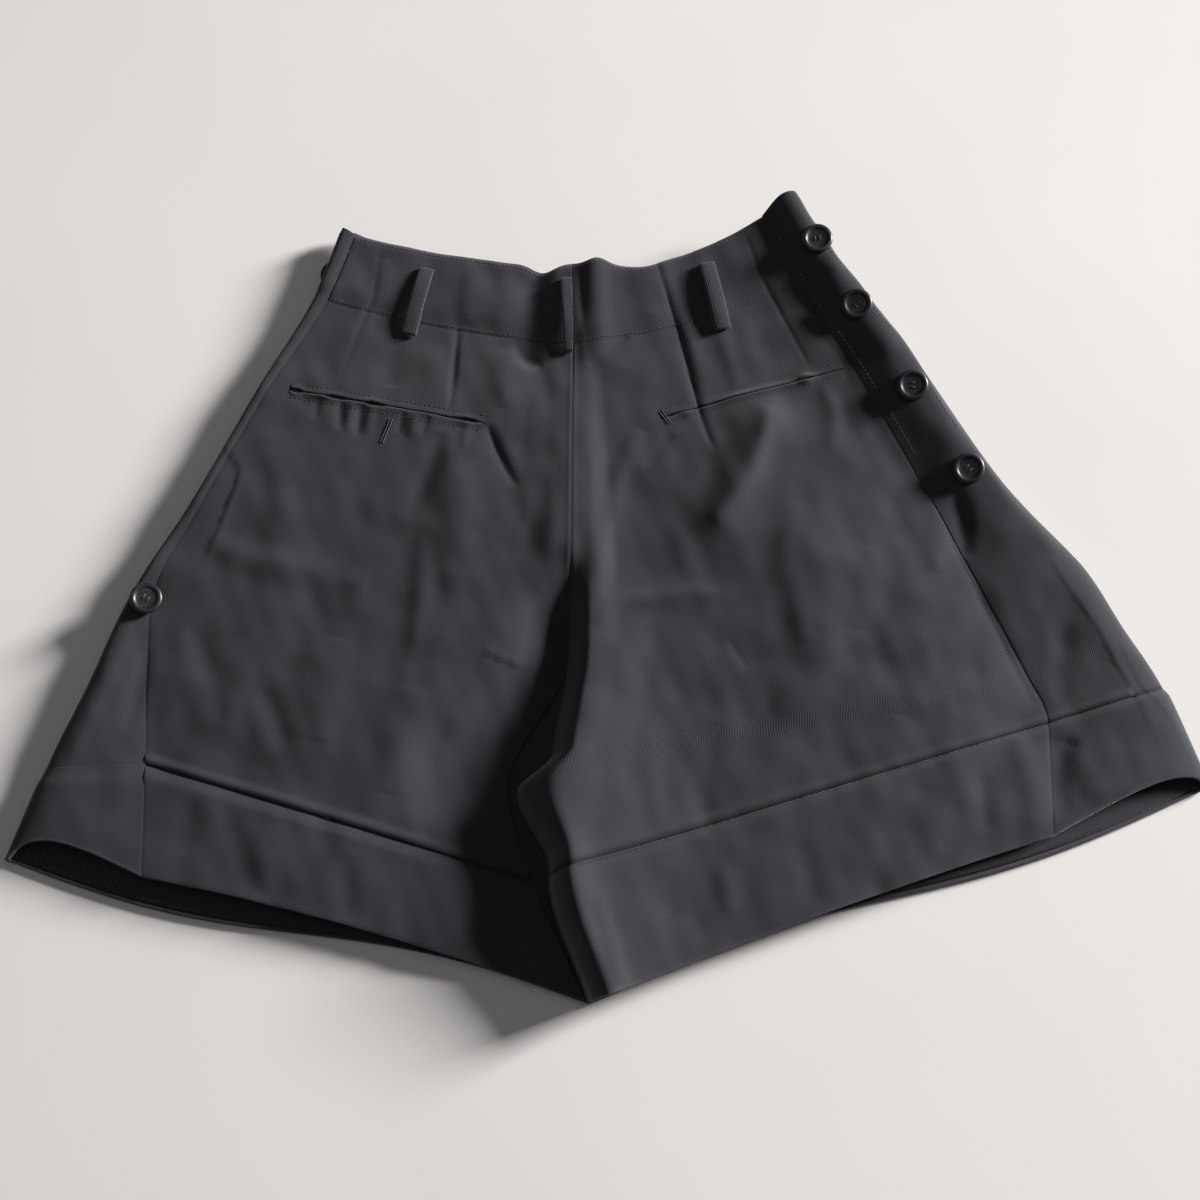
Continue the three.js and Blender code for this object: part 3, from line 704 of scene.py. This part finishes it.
# A closed piece of cloth from its middle layer: outer and inner are its two sides' offsets.
def clothWall(name, points, normals, outer, inner, material, flip, wear=None, start=None, cut=None, deep=None):
    wide, long = points.shape[:2]
    outer = np.broadcast_to(outer, (wide, long))[..., None]
    inner = np.broadcast_to(inner, (wide, long))[..., None]
    top, bottom = points + normals * outer, points + normals * inner
    faces, rim = wallFaces(wide, long)
    ends = []
    for i, j in rim:
        ni = min(max(i, 1), wide - 2)
        nj = min(max(j, 1), long - 2)
        middle = (top[i, j] + bottom[i, j]) / 2
        away = points[i, j] - points[ni, nj]
        length = np.linalg.norm(away)
        away = away / length if length else away
        thick = np.linalg.norm(top[i, j] - bottom[i, j])
        ends.append(middle + away * thick * clothSizes["rimRound"] * 0.5)
    everything = np.vstack([top.reshape(-1, 3), bottom.reshape(-1, 3), np.array(ends)])
    if cut is None:
        cut = cutPlaces(points, np.zeros(long) if start is None else start)
    rimIndex = np.array([i * long + j for i, j in rim])
    flatCut = cut.reshape(-1, 3)
    flatWear = (np.zeros((wide, long)) if wear is None else wear).ravel()
    flatPaintedShade = (np.zeros((wide, long)) if deep is None else np.broadcast_to(deep, (wide, long))).ravel()
    attributes = {
        "cut": ("FLOAT_VECTOR", np.vstack([flatCut, flatCut, flatCut[rimIndex]])),
        "wear": ("FLOAT", np.concatenate([flatWear, flatWear, np.maximum(flatWear[rimIndex], 0.5)])),
        "deep": ("FLOAT", np.concatenate([flatPaintedShade, flatPaintedShade, flatPaintedShade[rimIndex]])),
    }
    if flip:
        faces = [face[::-1] for face in faces]
    return linkMesh(name, everything, faces, material, attributes=attributes)


def facesOut(half):
    return half["outwards"] > 0


def spreadStops(*parts):
    stops = [np.array([parts[0][0]], float)]
    for low, high, count in parts:
        stops.append(np.linspace(low, high, count + 1)[1:])
    return np.concatenate(stops)


bandEnd = rowAt["bandSeam"] - clothSizes["seamShare"]
panelStart = rowAt["bandSeam"] + clothSizes["seamShare"]
grids = {
    "panelRows": spreadStops((panelStart, 1.002, 1), (1.002, 1.02, 3), (1.02, 1.7, 26), (1.7, 2.4, 40),
                             (2.4, 5.94, 128), (5.94, 6.02, 8), (6.02, 6.9, 18), (6.9, 6.955, 2)),
    "backAcross": spreadStops((0, 0.0006, 1), (0.0006, 0.02, 8), (0.02, 0.99, 140), (0.99, 0.9988, 5),
                              (0.9988, 0.9996, 1)),
    "marginAcross": spreadStops((1, 1.0008, 1), (1.0008, 1.02, 5), (1.02, 2, 46)),
    "lowerAcross": spreadStops((2, 2.14, 10), (2.14, 2.42, 18), (2.42, 3, 34)),
    "bandRows": spreadStops((0, 0.03, 4), (0.03, 0.96, 34), (0.96, 0.998, 5), (0.998, bandEnd, 1)),
    "cuffRows": spreadStops((6, 6.02, 4), (6.02, 6.93, 34), (6.93, 6.97, 4), (6.97, 7, 5)),
}
grids["frontAcross"] = np.concatenate([grids["marginAcross"], grids["lowerAcross"][1:]])


# How many millimetres one step of u or v is, where a distance from a seam is needed.
spans = {"bandRow": 57, "cuffRow": 70, "sideSeam": 225, "backSeam": 235, "bandSide": 150}


# A seam draws the cloth in: the outer side dips over a few millimetres beside it.
def seamDip(distance, depth, width):
    return -depth * np.exp(-(distance / width) ** 2)


pieces = {}


def panelOffsets(u, v):
    size = seamDip((v - rowAt["bandSeam"]) * spans["bandRow"], 0.15, 1.6)
    # Above the cuff the cloth puffs out a little, and under the cuff it lies deeper.
    size = size + 1.0 * np.exp(-((v - 5.93) * spans["cuffRow"] / 3.8) ** 2)
    size = size - 1.4 * ramp(v, 5.983, 5.998) * (1 - ramp(v, 6.04, 6.2))
    size = size + seamDip((u - 1) * spans["sideSeam"], 0.2, 1.2)
    # The back seam is pressed open, so it stands as a low ridge with a line in it.
    away = u * spans["backSeam"]
    ridge = 0.18 * np.exp(-((away - 1.8) / 1.8) ** 2) - 0.12 * np.exp(-(away / 0.7) ** 2)
    return size + np.where((v > 1) & (v < 4.2), ridge, 0)


# Painted shade: the colour along the seams and the cuffs' upper edges is darkened as the shade in their narrow grooves.
def paintedSeamShade(side, u, v):
    cuffLine = np.exp(-((v - 5.98) * spans["cuffRow"] / 1.9) ** 2)
    cuffLine = cuffLine * (0.85 if side == "right" else np.where(u < 1, 0.5, 0))
    sideLine = np.exp(-((u - 1) * spans["sideSeam"] / 0.8) ** 2)
    sideLine = sideLine * (0.4 if side == "right" else 0) * ramp(v, 3.3, 3.8)
    sideLine = sideLine * (1 - ramp(v, 5.6, 6))
    return np.where(u < 1.9, np.maximum(cuffLine, sideLine), 0)


def addPanels():
    thickness = clothSizes["thickness"]
    for side, half in halves.items():
        v = grids["panelRows"][None, :]
        u = grids["backAcross"][:, None]
        points, normals = surfaceFrame(half, u, v)
        outer = skin + panelOffsets(u, v)
        pieces[f"back_{side}"] = clothWall(f"backPanel_{side}", points, normals, outer, outer - thickness, twillBody,
                                           not facesOut(half), deep=paintedSeamShade(side, u, v))
        edge = np.linalg.norm(points[-1] - points[0], axis=-1)
        u = grids["frontAcross"][:, None]
        points, normals = surfaceFrame(half, u, v)
        outer = skin + np.where(u < 1.5, panelOffsets(u, v), 0) * (1 if side == "right" else 0)
        pieces[f"front_{side}"] = clothWall(f"frontPanel_{side}", points, normals, outer, outer - thickness, twillBody,
                                            not facesOut(half), start=edge, deep=paintedSeamShade(side, u, v))


def addCuffs():
    v = grids["cuffRows"][None, :]
    lipTop = rowAt["hem"] - cuffSizes["lip"] / cuffSizes["length"]
    down = (v - rowAt["cuff"]) * cuffSizes["length"]
    wear = np.exp(-((down - cuffSizes["length"]) / 2.2) ** 2)
    for side, half in halves.items():
        for name, across in (("back", grids["backAcross"]), ("front", grids["frontAcross"])):
            u = across[:, None]
            points, normals = surfaceFrame(half, u, v)
            puff = np.where(u > 2.02, 0, -0.5 * np.exp(-(down / 1.2) ** 2) - 0.35 * np.exp(-((down - 70) / 1.5) ** 2))
            plain = side == "left" and name == "front"
            depth, reach = (1.45, 18) if plain else (1.4, 10) if side == "left" else (1.25, 7)
            sunk = depth * (1 - ramp(down, 0, reach))
            puff = (0 if plain else puff) - np.where(u > 2.02, 0, sunk)
            # Painted shade along the turn-up's top edge, where it tucks under the leg.
            deep = (0 if plain else 0.8) * np.exp(-(down / 1.1) ** 2) * np.where(u < 1.9, 1, 0)
            outer = cuffOuter + puff + np.where(u < 1.5, seamDip((u - 1) * spans["sideSeam"], 0.12, 1.2), 0)
            inner = np.where(v >= lipTop, -skin, onCloth - np.where(u > 2.02, 0, sunk))
            edge = np.zeros(points.shape[1]) if name == "back" else edge
            pieces[f"cuff_{name}_{side}"] = clothWall(
                f"turnUp_{name}_{side}", points, normals, outer, inner, twillTurned, not facesOut(half),
                wear=np.broadcast_to(wear, points.shape[:2]), start=edge, deep=deep)
            edge = np.linalg.norm(points[-1] - points[0], axis=-1)


def addWaistband():
    v = grids["bandRows"][None, :]
    down = v * spans["bandRow"]
    thickness = bandSizes["thickness"]
    puff = bandSizes["puff"] * ramp(down, 0, 5) * (1 - ramp(down, 44, 56.5)) - 0.5 * np.exp(-(down / 1.2) ** 2)
    wear = 0.7 * np.exp(-(down / 1.5) ** 2)
    front = {}
    for side, half in halves.items():
        u = spreadStops((0, 0.02, 4), (0.02, 1 - 0.0006, 104))[:, None]
        points, normals = surfaceFrame(half, u, v)
        outer = skin + puff + seamDip((u - 1) * spans["bandSide"], 0.4, 1.5) + 0 * u
        pieces[f"waistband_back_{side}"] = clothWall(
            f"bandBack_{side}", points, normals, outer, skin - thickness, twillStrip, not facesOut(half),
            wear=np.broadcast_to(wear, points.shape[:2]))
        u = grids["frontAcross"][:, None]
        points, normals = surfaceFrame(half, u, v)
        front[side] = (points, normals, skin + np.where(u < 1.9, puff, 0))
    joined = []
    for left, right in zip(front["left"], front["right"]):
        joined.append(np.concatenate([left, right[::-1][1:]]))
    points, normals, outer = joined
    pieces["waistband_front"] = clothWall(
        "bandFront", points, normals, outer, skin - thickness, twillStrip, False,
        wear=np.broadcast_to(wear, points.shape[:2]))


addPanels()
addCuffs()
addWaistband()
print("panels, cuffs and waistband laid")

placketSizes = {"thickness": 1.0, "lift": 0.3, "bottom": 3.35, "reach": 1 + 5 / 7}


# The right placket stands up along its edge and runs out into the side at its bottom; the left one is flush.
def addPlackets():
    size = placketSizes
    reach = size["reach"]
    v = spreadStops((0, 0.03, 4), (0.03, 3.3, 120), (3.3, size["bottom"], 5))[None, :]
    u = spreadStops((1, 1.02, 3), (1.02, reach - 0.02, 34), (reach - 0.02, reach, 3))[:, None]
    for side, half in halves.items():
        points, normals = surfaceFrame(half, u, v)
        stands = 1.0 if side == "right" else 0.0
        crown = 0.35 * ramp(u, 1, 1.06) * (1 - ramp(u, reach - 0.06, reach))
        crown = crown + 0.5 * np.sin(v * 9 + 1) * np.exp(-((u - reach) / 0.08) ** 2)
        puff = np.where(v < 1, bandSizes["puff"] * (1 - ramp(v, 0.77, 0.99)), 0)
        height = (0.3 + size["lift"] + size["thickness"] + crown) * ramp(u, 1, 1.4) * (1 - ramp(v, 2.7, 3.3))
        flush = 0.3 * ramp(u, 1, 1.2) * (1 - ramp(u, reach - 0.2, reach)) - 0.16
        outer = skin + puff + 0.1 + mix(flush, height, stands) - ramp(v, 3.2, size["bottom"]) * 0.4
        wear = 0.5 * stands * np.exp(-((u - reach) / 0.03) ** 2) + 0 * v
        pieces[f"placket_{side}"] = clothWall(
            f"sidePlacket_{side}", points, normals, outer, outer - size["thickness"],
            twillStrip if side == "right" else twillBody, not facesOut(half), wear=wear)


# A strip lies along a line in plan, between low and high, both measured to the line's left.
def stripPlaces(half, line, low, high, wide, long):
    (x1, y1), (x2, y2) = line
    length = math.hypot(x2 - x1, y2 - y1)
    ax, ay = (x2 - x1) / length, (y2 - y1) / length
    along = np.linspace(0, length, long)[None, :] + np.zeros((wide, 1))
    shift = mix(np.asarray(low, float), np.asarray(high, float), np.linspace(0, 1, wide)[:, None]) + 0 * along
    x = x1 + ax * along - ay * shift
    y = y1 + ay * along + ax * shift
    u, v = locate(half, x.ravel(), y.ravel())
    return u.reshape(wide, long), v.reshape(wide, long), shift, along


def stripCut(shift, along):
    return np.stack([shift * mm, along * mm, 0 * along], axis=-1)


loopSizes = {
    "thickness": 1.8,
    "width": 9.8,
    "standOff": 0.6,
    "arch": 1.7,
    "lines": {
        "left": ((-117, 228), (-128, 180)),
        "centre": ((-21.5, 219), (-18.5, 166)),
        "right": ((72, 229), (82, 181)),
    },
}


def addBeltLoops():
    size = loopSizes
    for name, line in size["lines"].items():
        half = halfAt(line[0][0])
        u, v, shift, along = stripPlaces(half, line, -size["width"] / 2, size["width"] / 2, 13, 60)
        points, normals = surfaceFrame(half, u, v)
        t = along / along.max()
        lift = onCloth + size["standOff"] + size["arch"] * np.sin(np.pi * t) ** 0.8
        crown = 0.35 * (1 - (2 * shift / size["width"]) ** 4)
        groove = -0.12 * np.exp(-((np.abs(shift) - size["width"] / 2 + 1.7) / 0.5) ** 2)
        outer = lift + size["thickness"] + crown + groove
        pieces[f"belt_loop_{name}"] = clothWall(
            f"beltLoop_{name}", points, normals, outer, lift, twillStrip, True, cut=stripCut(shift, along))


weltSizes = {
    "thickness": 1.0,
    "width": 6.5,
    "lines": {"left": ((-206, 141), (-75, 115)), "right": ((40, 119), (162, 153))},
    # How wide each slit gapes and how high its lips stand, at places along it.
    "gape": {
        "left": ((0, 2.4), (6, 2.8), (10, 0.6), (24, 0.5), (29, 2.4), (36, 2), (41, 0.9), (51, 0.9), (56, 2.8),
                 (62, 2), (67, 0.5), (84, 0.5), (108, 0.5), (114, 1.5), (120, 2.8), (126, 2.2), (129, 0.5), (134, 0.4)),
        "right": ((0, 0.9), (8, 1.8), (14, 0.8), (36, 1.4), (44, 1), (96, 0.8), (101, 1.8), (106, 0.8), (127, 0.6)),
    },
    "lips": {
        "left": ((0, 0.6), (30, 0.6), (40, 0.3), (58, 0.7), (70, 0.3), (110, 0.3), (120, 0.8), (134, 0.1)),
        "right": ((0, 0.1), (14, 0.5), (22, 0.2), (36, 0.6), (42, 1), (52, 1.5), (86, 1.4), (94, 0.5), (101, 1.2),
                  (110, 0.3), (127, 0.1)),
    },
}


# Painted shade inside a pocket or buttonhole: a narrow near-black strip lying in its slit, the pocket's inside painted
# as the shade of the gap.
def addSlitShade(name, half, line, width, lift, long, mother):
    u, v, shift, along = stripPlaces(half, line, -width / 2, width / 2, 5, long)
    points, normals = surfaceFrame(half, u, v)
    strip = clothWall(name, points, normals, skin + lift, skin - 0.3, slitShadeFinish, True, cut=stripCut(shift, along))
    strip.parent = mother


def addWelts():
    size = weltSizes
    for side, line in size["lines"].items():
        half = halves[side]
        along = np.linspace(0, math.dist(*line), 130)
        low = np.interp(along, *zip(*size["gape"][side])) / 2
        lip = np.interp(along, *zip(*size["lips"][side]))
        for name, sign in (("upper", 1), ("lower", -1)):
            ends = (low, low + size["width"]) if sign > 0 else (-low - size["width"], -low)
            u, v, shift, far = stripPlaces(half, line, *ends, 11, 130)
            points, normals = surfaceFrame(half, u, v)
            away = np.abs(shift) - low
            pull = 0.2 * np.sin(far / 5.3 + (1 if sign > 0 else 3)) * np.sin(far / 13.1)
            outer = skin + 0.12 + (lip + pull) * np.exp(-(away / 2.3) ** 2) - 0.3 * np.exp(-(away / 0.5) ** 2)
            outer = outer - 0.35 * ramp(away, size["width"] - 3.5, size["width"])
            outer = outer - 0.3 * (1 - ramp(far, 0, 3)) - 0.3 * ramp(far, far.max() - 3, far.max())
            pieces[f"welt_{side}_{name}"] = clothWall(
                f"pocketWelt_{side}_{name}", points, normals, outer, outer - size["thickness"], twillBody, True,
                cut=stripCut(shift, far))
        addSlitShade(f"slitShade_{side}", half, line, 2 * low, 0.1, 130, pieces[f"welt_{side}_lower"])


addPlackets()
addBeltLoops()
addWelts()
print("plackets, belt loops and welts laid")

buttonSizes = {
    "radius": 10.3,
    "thickness": 3.4,
    "holeAway": 2.3,
    "holeShare": (0.71, 0.85),
    "holeRadius": 1.05,
    "clearance": 0.7,
    "places": {
        "left_1": ("left", -181, 230, None),
        "left_2": ("left", -205, 149, None),
        "left_3": ("left", -242, 72, None),
        "left_4": ("left", -291, -3.5, 0.4),
        "right_1": ("right", 145.5, 242, 0.4),
        "right_2": ("right", 170.7, 196, 0.4),
        "right_3": ("right", 205, 138.6, 0.4),
        "right_4": ("right", 239, 82, 0.4),
    },
}


# A turned button with a rolled rim, a dished middle and four holes.
def buttonMesh():
    size = buttonSizes
    radius, thickness = size["radius"], size["thickness"]
    profile = [(0.0, thickness - 1.3), (1.2, thickness - 1.3), (3.6, thickness - 1.2), (5.4, thickness - 1.1),
               (6.6, thickness - 0.85), (7.2, thickness - 0.4), (7.7, thickness - 0.1), (8.4, thickness),
               (9.2, thickness - 0.12), (9.9, thickness - 0.6), (10.25, thickness - 1.2), (radius, thickness - 1.8),
               (10.1, 0.8), (9.5, 0.25), (8.6, 0), (0.0, 0)]
    sides = 64
    points, faces = [], []
    for r, z in profile:
        for k in range(sides):
            turn = 2 * math.pi * k / sides
            points.append((r * math.cos(turn), r * math.sin(turn), z))
    for i in range(len(profile) - 1):
        for k in range(sides):
            a, b = i * sides + k, i * sides + (k + 1) % sides
            if profile[i][0] == 0:
                faces.append((a, a + sides, b + sides))
            elif profile[i + 1][0] == 0:
                faces.append((a, a + sides, b))
            else:
                faces.append((a, a + sides, b + sides, b))
    return np.array(points), faces


def tube(path, radius, sides=6):
    path = np.array(path, float)
    points, faces = [], []
    for i, p in enumerate(path):
        ahead = path[min(i + 1, len(path) - 1)] - path[max(i - 1, 0)]
        ahead /= np.linalg.norm(ahead)
        helper = np.array([0.0, 0.0, 1.0]) if abs(ahead[2]) < 0.9 else np.array([1.0, 0.0, 0.0])
        one = np.cross(ahead, helper)
        one /= np.linalg.norm(one)
        two = np.cross(ahead, one)
        thin = 0.35 if i in (0, len(path) - 1) else 1.0
        for k in range(sides):
            turn = 2 * math.pi * k / sides
            points.append(p + radius * thin * (math.cos(turn) * one + math.sin(turn) * two))
    for i in range(len(path) - 1):
        for k in range(sides):
            a, b = i * sides + k, i * sides + (k + 1) % sides
            faces.append((a, b, b + sides, a + sides))
    faces.append(tuple(range(sides))[::-1])
    faces.append(tuple(range((len(path) - 1) * sides, len(path) * sides)))
    return np.array(points), faces


def joinParts(parts):
    points, faces, start = [], [], 0
    for partPoints, partFaces in parts:
        points.append(partPoints)
        faces += [tuple(i + start for i in face) for face in partFaces]
        start += len(partPoints)
    return np.vstack(points), faces


def buttonThread():
    size = buttonSizes
    away, top = size["holeAway"], size["thickness"] - 1.25
    wide, long = size["holeShare"]
    parts = []
    for sx in (-1, 1):
        for shift in (-0.32, 0.0, 0.32):
            x = sx * away * wide + shift
            rise = 0.42 - abs(shift) * 0.3
            path = [(x, -away * long, top - 0.35), (x, -away * 0.6, top + rise * 0.8), (x, 0, top + rise),
                    (x, away * 0.6, top + rise * 0.8), (x, away * long, top - 0.35)]
            parts.append(tube(path, 0.22))
    return joinParts(parts)


def holeCaps():
    size = buttonSizes
    wide, long = size["holeShare"]
    radius = size["holeRadius"]
    turns = [k * math.pi / 8 for k in range(16)]
    parts = []
    for sx in (-1, 1):
        for sy in (-1, 1):
            cx, cy = sx * size["holeAway"] * wide, sy * size["holeAway"] * long
            z = size["thickness"] - 1.28
            ring = [(cx + radius * math.cos(turn), cy + radius * math.sin(turn)) for turn in turns]
            points = [(x, y, z + 0.16) for x, y in ring]
            points += [(cx + (x - cx) * 0.72, cy + (y - cy) * 0.72, z - 0.2) for x, y in ring]
            points += [(x, y, z - 0.3) for x, y in ring]
            faces = []
            for k in range(16):
                n = (k + 1) % 16
                faces.append((k, n, n + 16, k + 16))
                faces.append((n, k, k + 32, n + 32))
            faces.append(tuple(range(16, 32)))
            faces.append(tuple(range(32, 48))[::-1])
            parts.append((np.array(points), faces))
    return joinParts(parts)


def turnTo(points, where, facing, spin=0.0):
    facing = Vector(facing).normalized()
    turn = np.array(Vector((0, 0, 1)).rotation_difference(facing).to_matrix())
    spun = np.array([[math.cos(spin), -math.sin(spin), 0], [math.sin(spin), math.cos(spin), 0], [0, 0, 1]])
    return points @ (turn @ spun).T + np.array(where)


def addButtons():
    size = buttonSizes
    body, bodyFaces = buttonMesh()
    thread, threadFaces = buttonThread()
    holes, holeFaces = holeCaps()
    for number, (name, (side, x, y, rise)) in enumerate(size["places"].items()):
        if rise is None:
            where, facing = np.array([x, y, size["thickness"] + 0.05]), (0, 0, -1)
        else:
            half = halves[side]
            u, v = locate(half, x, y)
            points, normals = surfaceFrame(half, u, v)
            seat = onCloth + placketSizes["lift"] + placketSizes["thickness"] + size["clearance"] + rise
            facing = normals[0]
            where = points[0] + facing * seat
        spin = 0.5 + 0.7 * number
        whole, faces = joinParts([(body, bodyFaces), (holes, holeFaces)])
        piece = linkMesh(f"sewnButton_{name}", turnTo(whole, where, facing, spin), faces, buttonFinish)
        pieces[f"button_{name}"] = piece
        sewn = linkMesh(f"buttonThread_{name}", turnTo(thread, where, facing, spin), threadFaces, threadFinish)
        sewn.parent = piece


addButtons()
print("buttons sewn on")

stitchSizes = {"length": 2.3, "pitch": 3.2, "radius": 0.17, "wander": 0.048}


# Short stitches along a line of points, each a thread that dips into the cloth at both ends.
def stitchParts(line, normals):
    steps = np.linalg.norm(np.diff(line, axis=0), axis=-1)
    travelled = np.concatenate([[0], np.cumsum(steps)])
    parts = []
    for start in np.arange(1.2, travelled[-1] - stitchSizes["length"], stitchSizes["pitch"]):
        at = start + np.array([0, 0.2, 0.5, 0.8, 1]) * stitchSizes["length"]
        path = np.stack([np.interp(at, travelled, line[:, k]) for k in range(3)], axis=-1)
        face = np.stack([np.interp(at, travelled, normals[:, k]) for k in range(3)], axis=-1)
        lift = np.array([-0.25, 0.06, 0.14, 0.06, -0.25])[:, None]
        path = path + face * lift + random.normal(0, stitchSizes["wander"], 3) * [1, 1, 0]
        parts.append(tube(path, stitchSizes["radius"], 5))
    return parts


def lineOnHalf(half, u, v, lift):
    points, normals = surfaceFrame(half, u, v)
    return points + normals * np.broadcast_to(lift, points.shape[:1])[:, None], normals


def addStitches():
    groups = {"stitches_waistband": [], "stitches_plackets": [], "stitches_pockets": [], "stitches_loops": []}
    for half in halves.values():
        u = np.linspace(0.015, 0.985, 160)
        for v, lift in ((0.05, skin + 0.35), (0.965, skin + bandSizes["puff"] * 0.75)):
            groups["stitches_waistband"] += stitchParts(*lineOnHalf(half, u, np.full(160, v), lift))
        v = np.linspace(0.03, 2.6, 300)
        low = onCloth + placketSizes["lift"] + placketSizes["thickness"]
        lift = low + 0.3 + np.where(v < 1, bandSizes["puff"], 0.05)
        for reach in (1.07, placketSizes["reach"] - 0.08) if half is halves["right"] else ():
            groups["stitches_plackets"] += stitchParts(*lineOnHalf(half, np.full(300, reach), v, lift))
    for side, line in weltSizes["lines"].items():
        outside = weltSizes["width"] - 1.2
        for shift in (-outside, outside):
            u, v, _, _ = stripPlaces(halves[side], line, shift, shift, 1, 120)
            groups["stitches_pockets"] += stitchParts(*lineOnHalf(halves[side], u[0], v[0], skin + 0.05))
    for name, line in loopSizes["lines"].items():
        half = halfAt(line[0][0])
        for shift in (-3.2, 3.2):
            u, v, _, along = stripPlaces(half, line, shift, shift, 1, 60)
            t = along[0] / along.max()
            lift = onCloth + loopSizes["standOff"] + loopSizes["arch"] * np.sin(np.pi * t) ** 0.8
            lift = lift + loopSizes["thickness"] + 0.08
            groups["stitches_loops"] += stitchParts(*lineOnHalf(half, u[0], v[0], lift))
    for name, parts in groups.items():
        points, faces = joinParts(parts)
        piece = linkMesh(name, points, faces, threadFinish)
        pieces[name] = piece


addStitches()

# A buttonhole lies across each back pocket's end: a cut painted near-black as shade, with a thick thread edge.
buttonholes = {"left": ((-137.5, 119), (-143.5, 102)), "right": ((39.5, 124), (46, 115))}


def addButtonholes():
    for side, line in buttonholes.items():
        half = halves[side]
        mother = pieces[f"welt_{side}_lower"]
        addSlitShade(f"buttonhole_{side}", half, line, 0.9, 0.06, 24, mother)
        parts = []
        for shift in (-0.85, 0.85):
            u, v, _, _ = stripPlaces(half, line, shift, shift, 1, 24)
            path, normals = lineOnHalf(half, u[0], v[0], skin + 0.05)
            bumps = 0.12 * np.sin(np.arange(24) * 2.1)[:, None]
            parts.append(tube(path + normals * bumps, 0.42, 6))
        points, faces = joinParts(parts)
        edge = linkMesh(f"buttonholeThread_{side}", points, faces, threadFinish)
        edge.parent = mother


addButtonholes()
print("stitches and buttonholes made")


# The pieces stand for the solids of the same names, so those solids are hidden.
def sayWhatStandsForWhat():
    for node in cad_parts:
        if node in pieces:
            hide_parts(node)


sayWhatStandsForWhat()


floorLook = {"size": 6.0, "pale": (0.77, 0.742, 0.722, 1), "dim": (0.73, 0.706, 0.688, 1)}


def addFloor():
    finish = Finish("paleFloor", {"Specular IOR Level": 0.15})
    where = finish.node("TexCoord", {}, out=3)
    tone = finish.noise(where, 3, 3)
    color = finish.blend(finish.spread(tone, 0.3, 0.7), floorLook["dim"], floorLook["pale"])
    material = finish.finishWith(color, finish.spread(tone, 0.3, 0.7, 0.8, 0.9))
    half = floorLook["size"] / 2
    mesh = bpy.data.meshes.new("floor")
    mesh.from_pydata([(-half, -half, 0), (half, -half, 0), (half, half, 0), (-half, half, 0)], [], [(0, 1, 2, 3)])
    mesh.materials.append(material)
    floor = bpy.data.objects.new("floor", mesh)
    floor.location.z = -0.0002
    bpy.context.collection.objects.link(floor)


lightSizes = {
    "key": {"place": (7.5, 3.48, 2.27), "size": 1.9, "power": 2450, "color": (1.0, 0.99, 0.98)},
    "top": {"place": (-0.2, 0.3, 2.2), "size": 2.2, "power": 5, "color": (0.96, 0.98, 1.0)},
    "sky": 0.07,
}


def addLights():
    for name in ("key", "top"):
        size = lightSizes[name]
        lamp = bpy.data.lights.new(name, "AREA")
        lamp.shape = "SQUARE"
        lamp.size = size["size"]
        lamp.energy = size["power"]
        lamp.color = size["color"]
        light = bpy.data.objects.new(name, lamp)
        light.location = size["place"]
        light.rotation_euler = (-Vector(size["place"])).to_track_quat("-Z", "Y").to_euler()
        bpy.context.collection.objects.link(light)
    world = bpy.data.worlds.new("studio")
    world.use_nodes = True
    world.node_tree.nodes["Background"].inputs["Color"].default_value = (0.93, 0.96, 1.0, 1)
    world.node_tree.nodes["Background"].inputs["Strength"].default_value = lightSizes["sky"]
    bpy.context.scene.world = world
    bpy.context.scene.view_settings.view_transform = "Standard"


addFloor()
addLights()
print("floor and lights set")
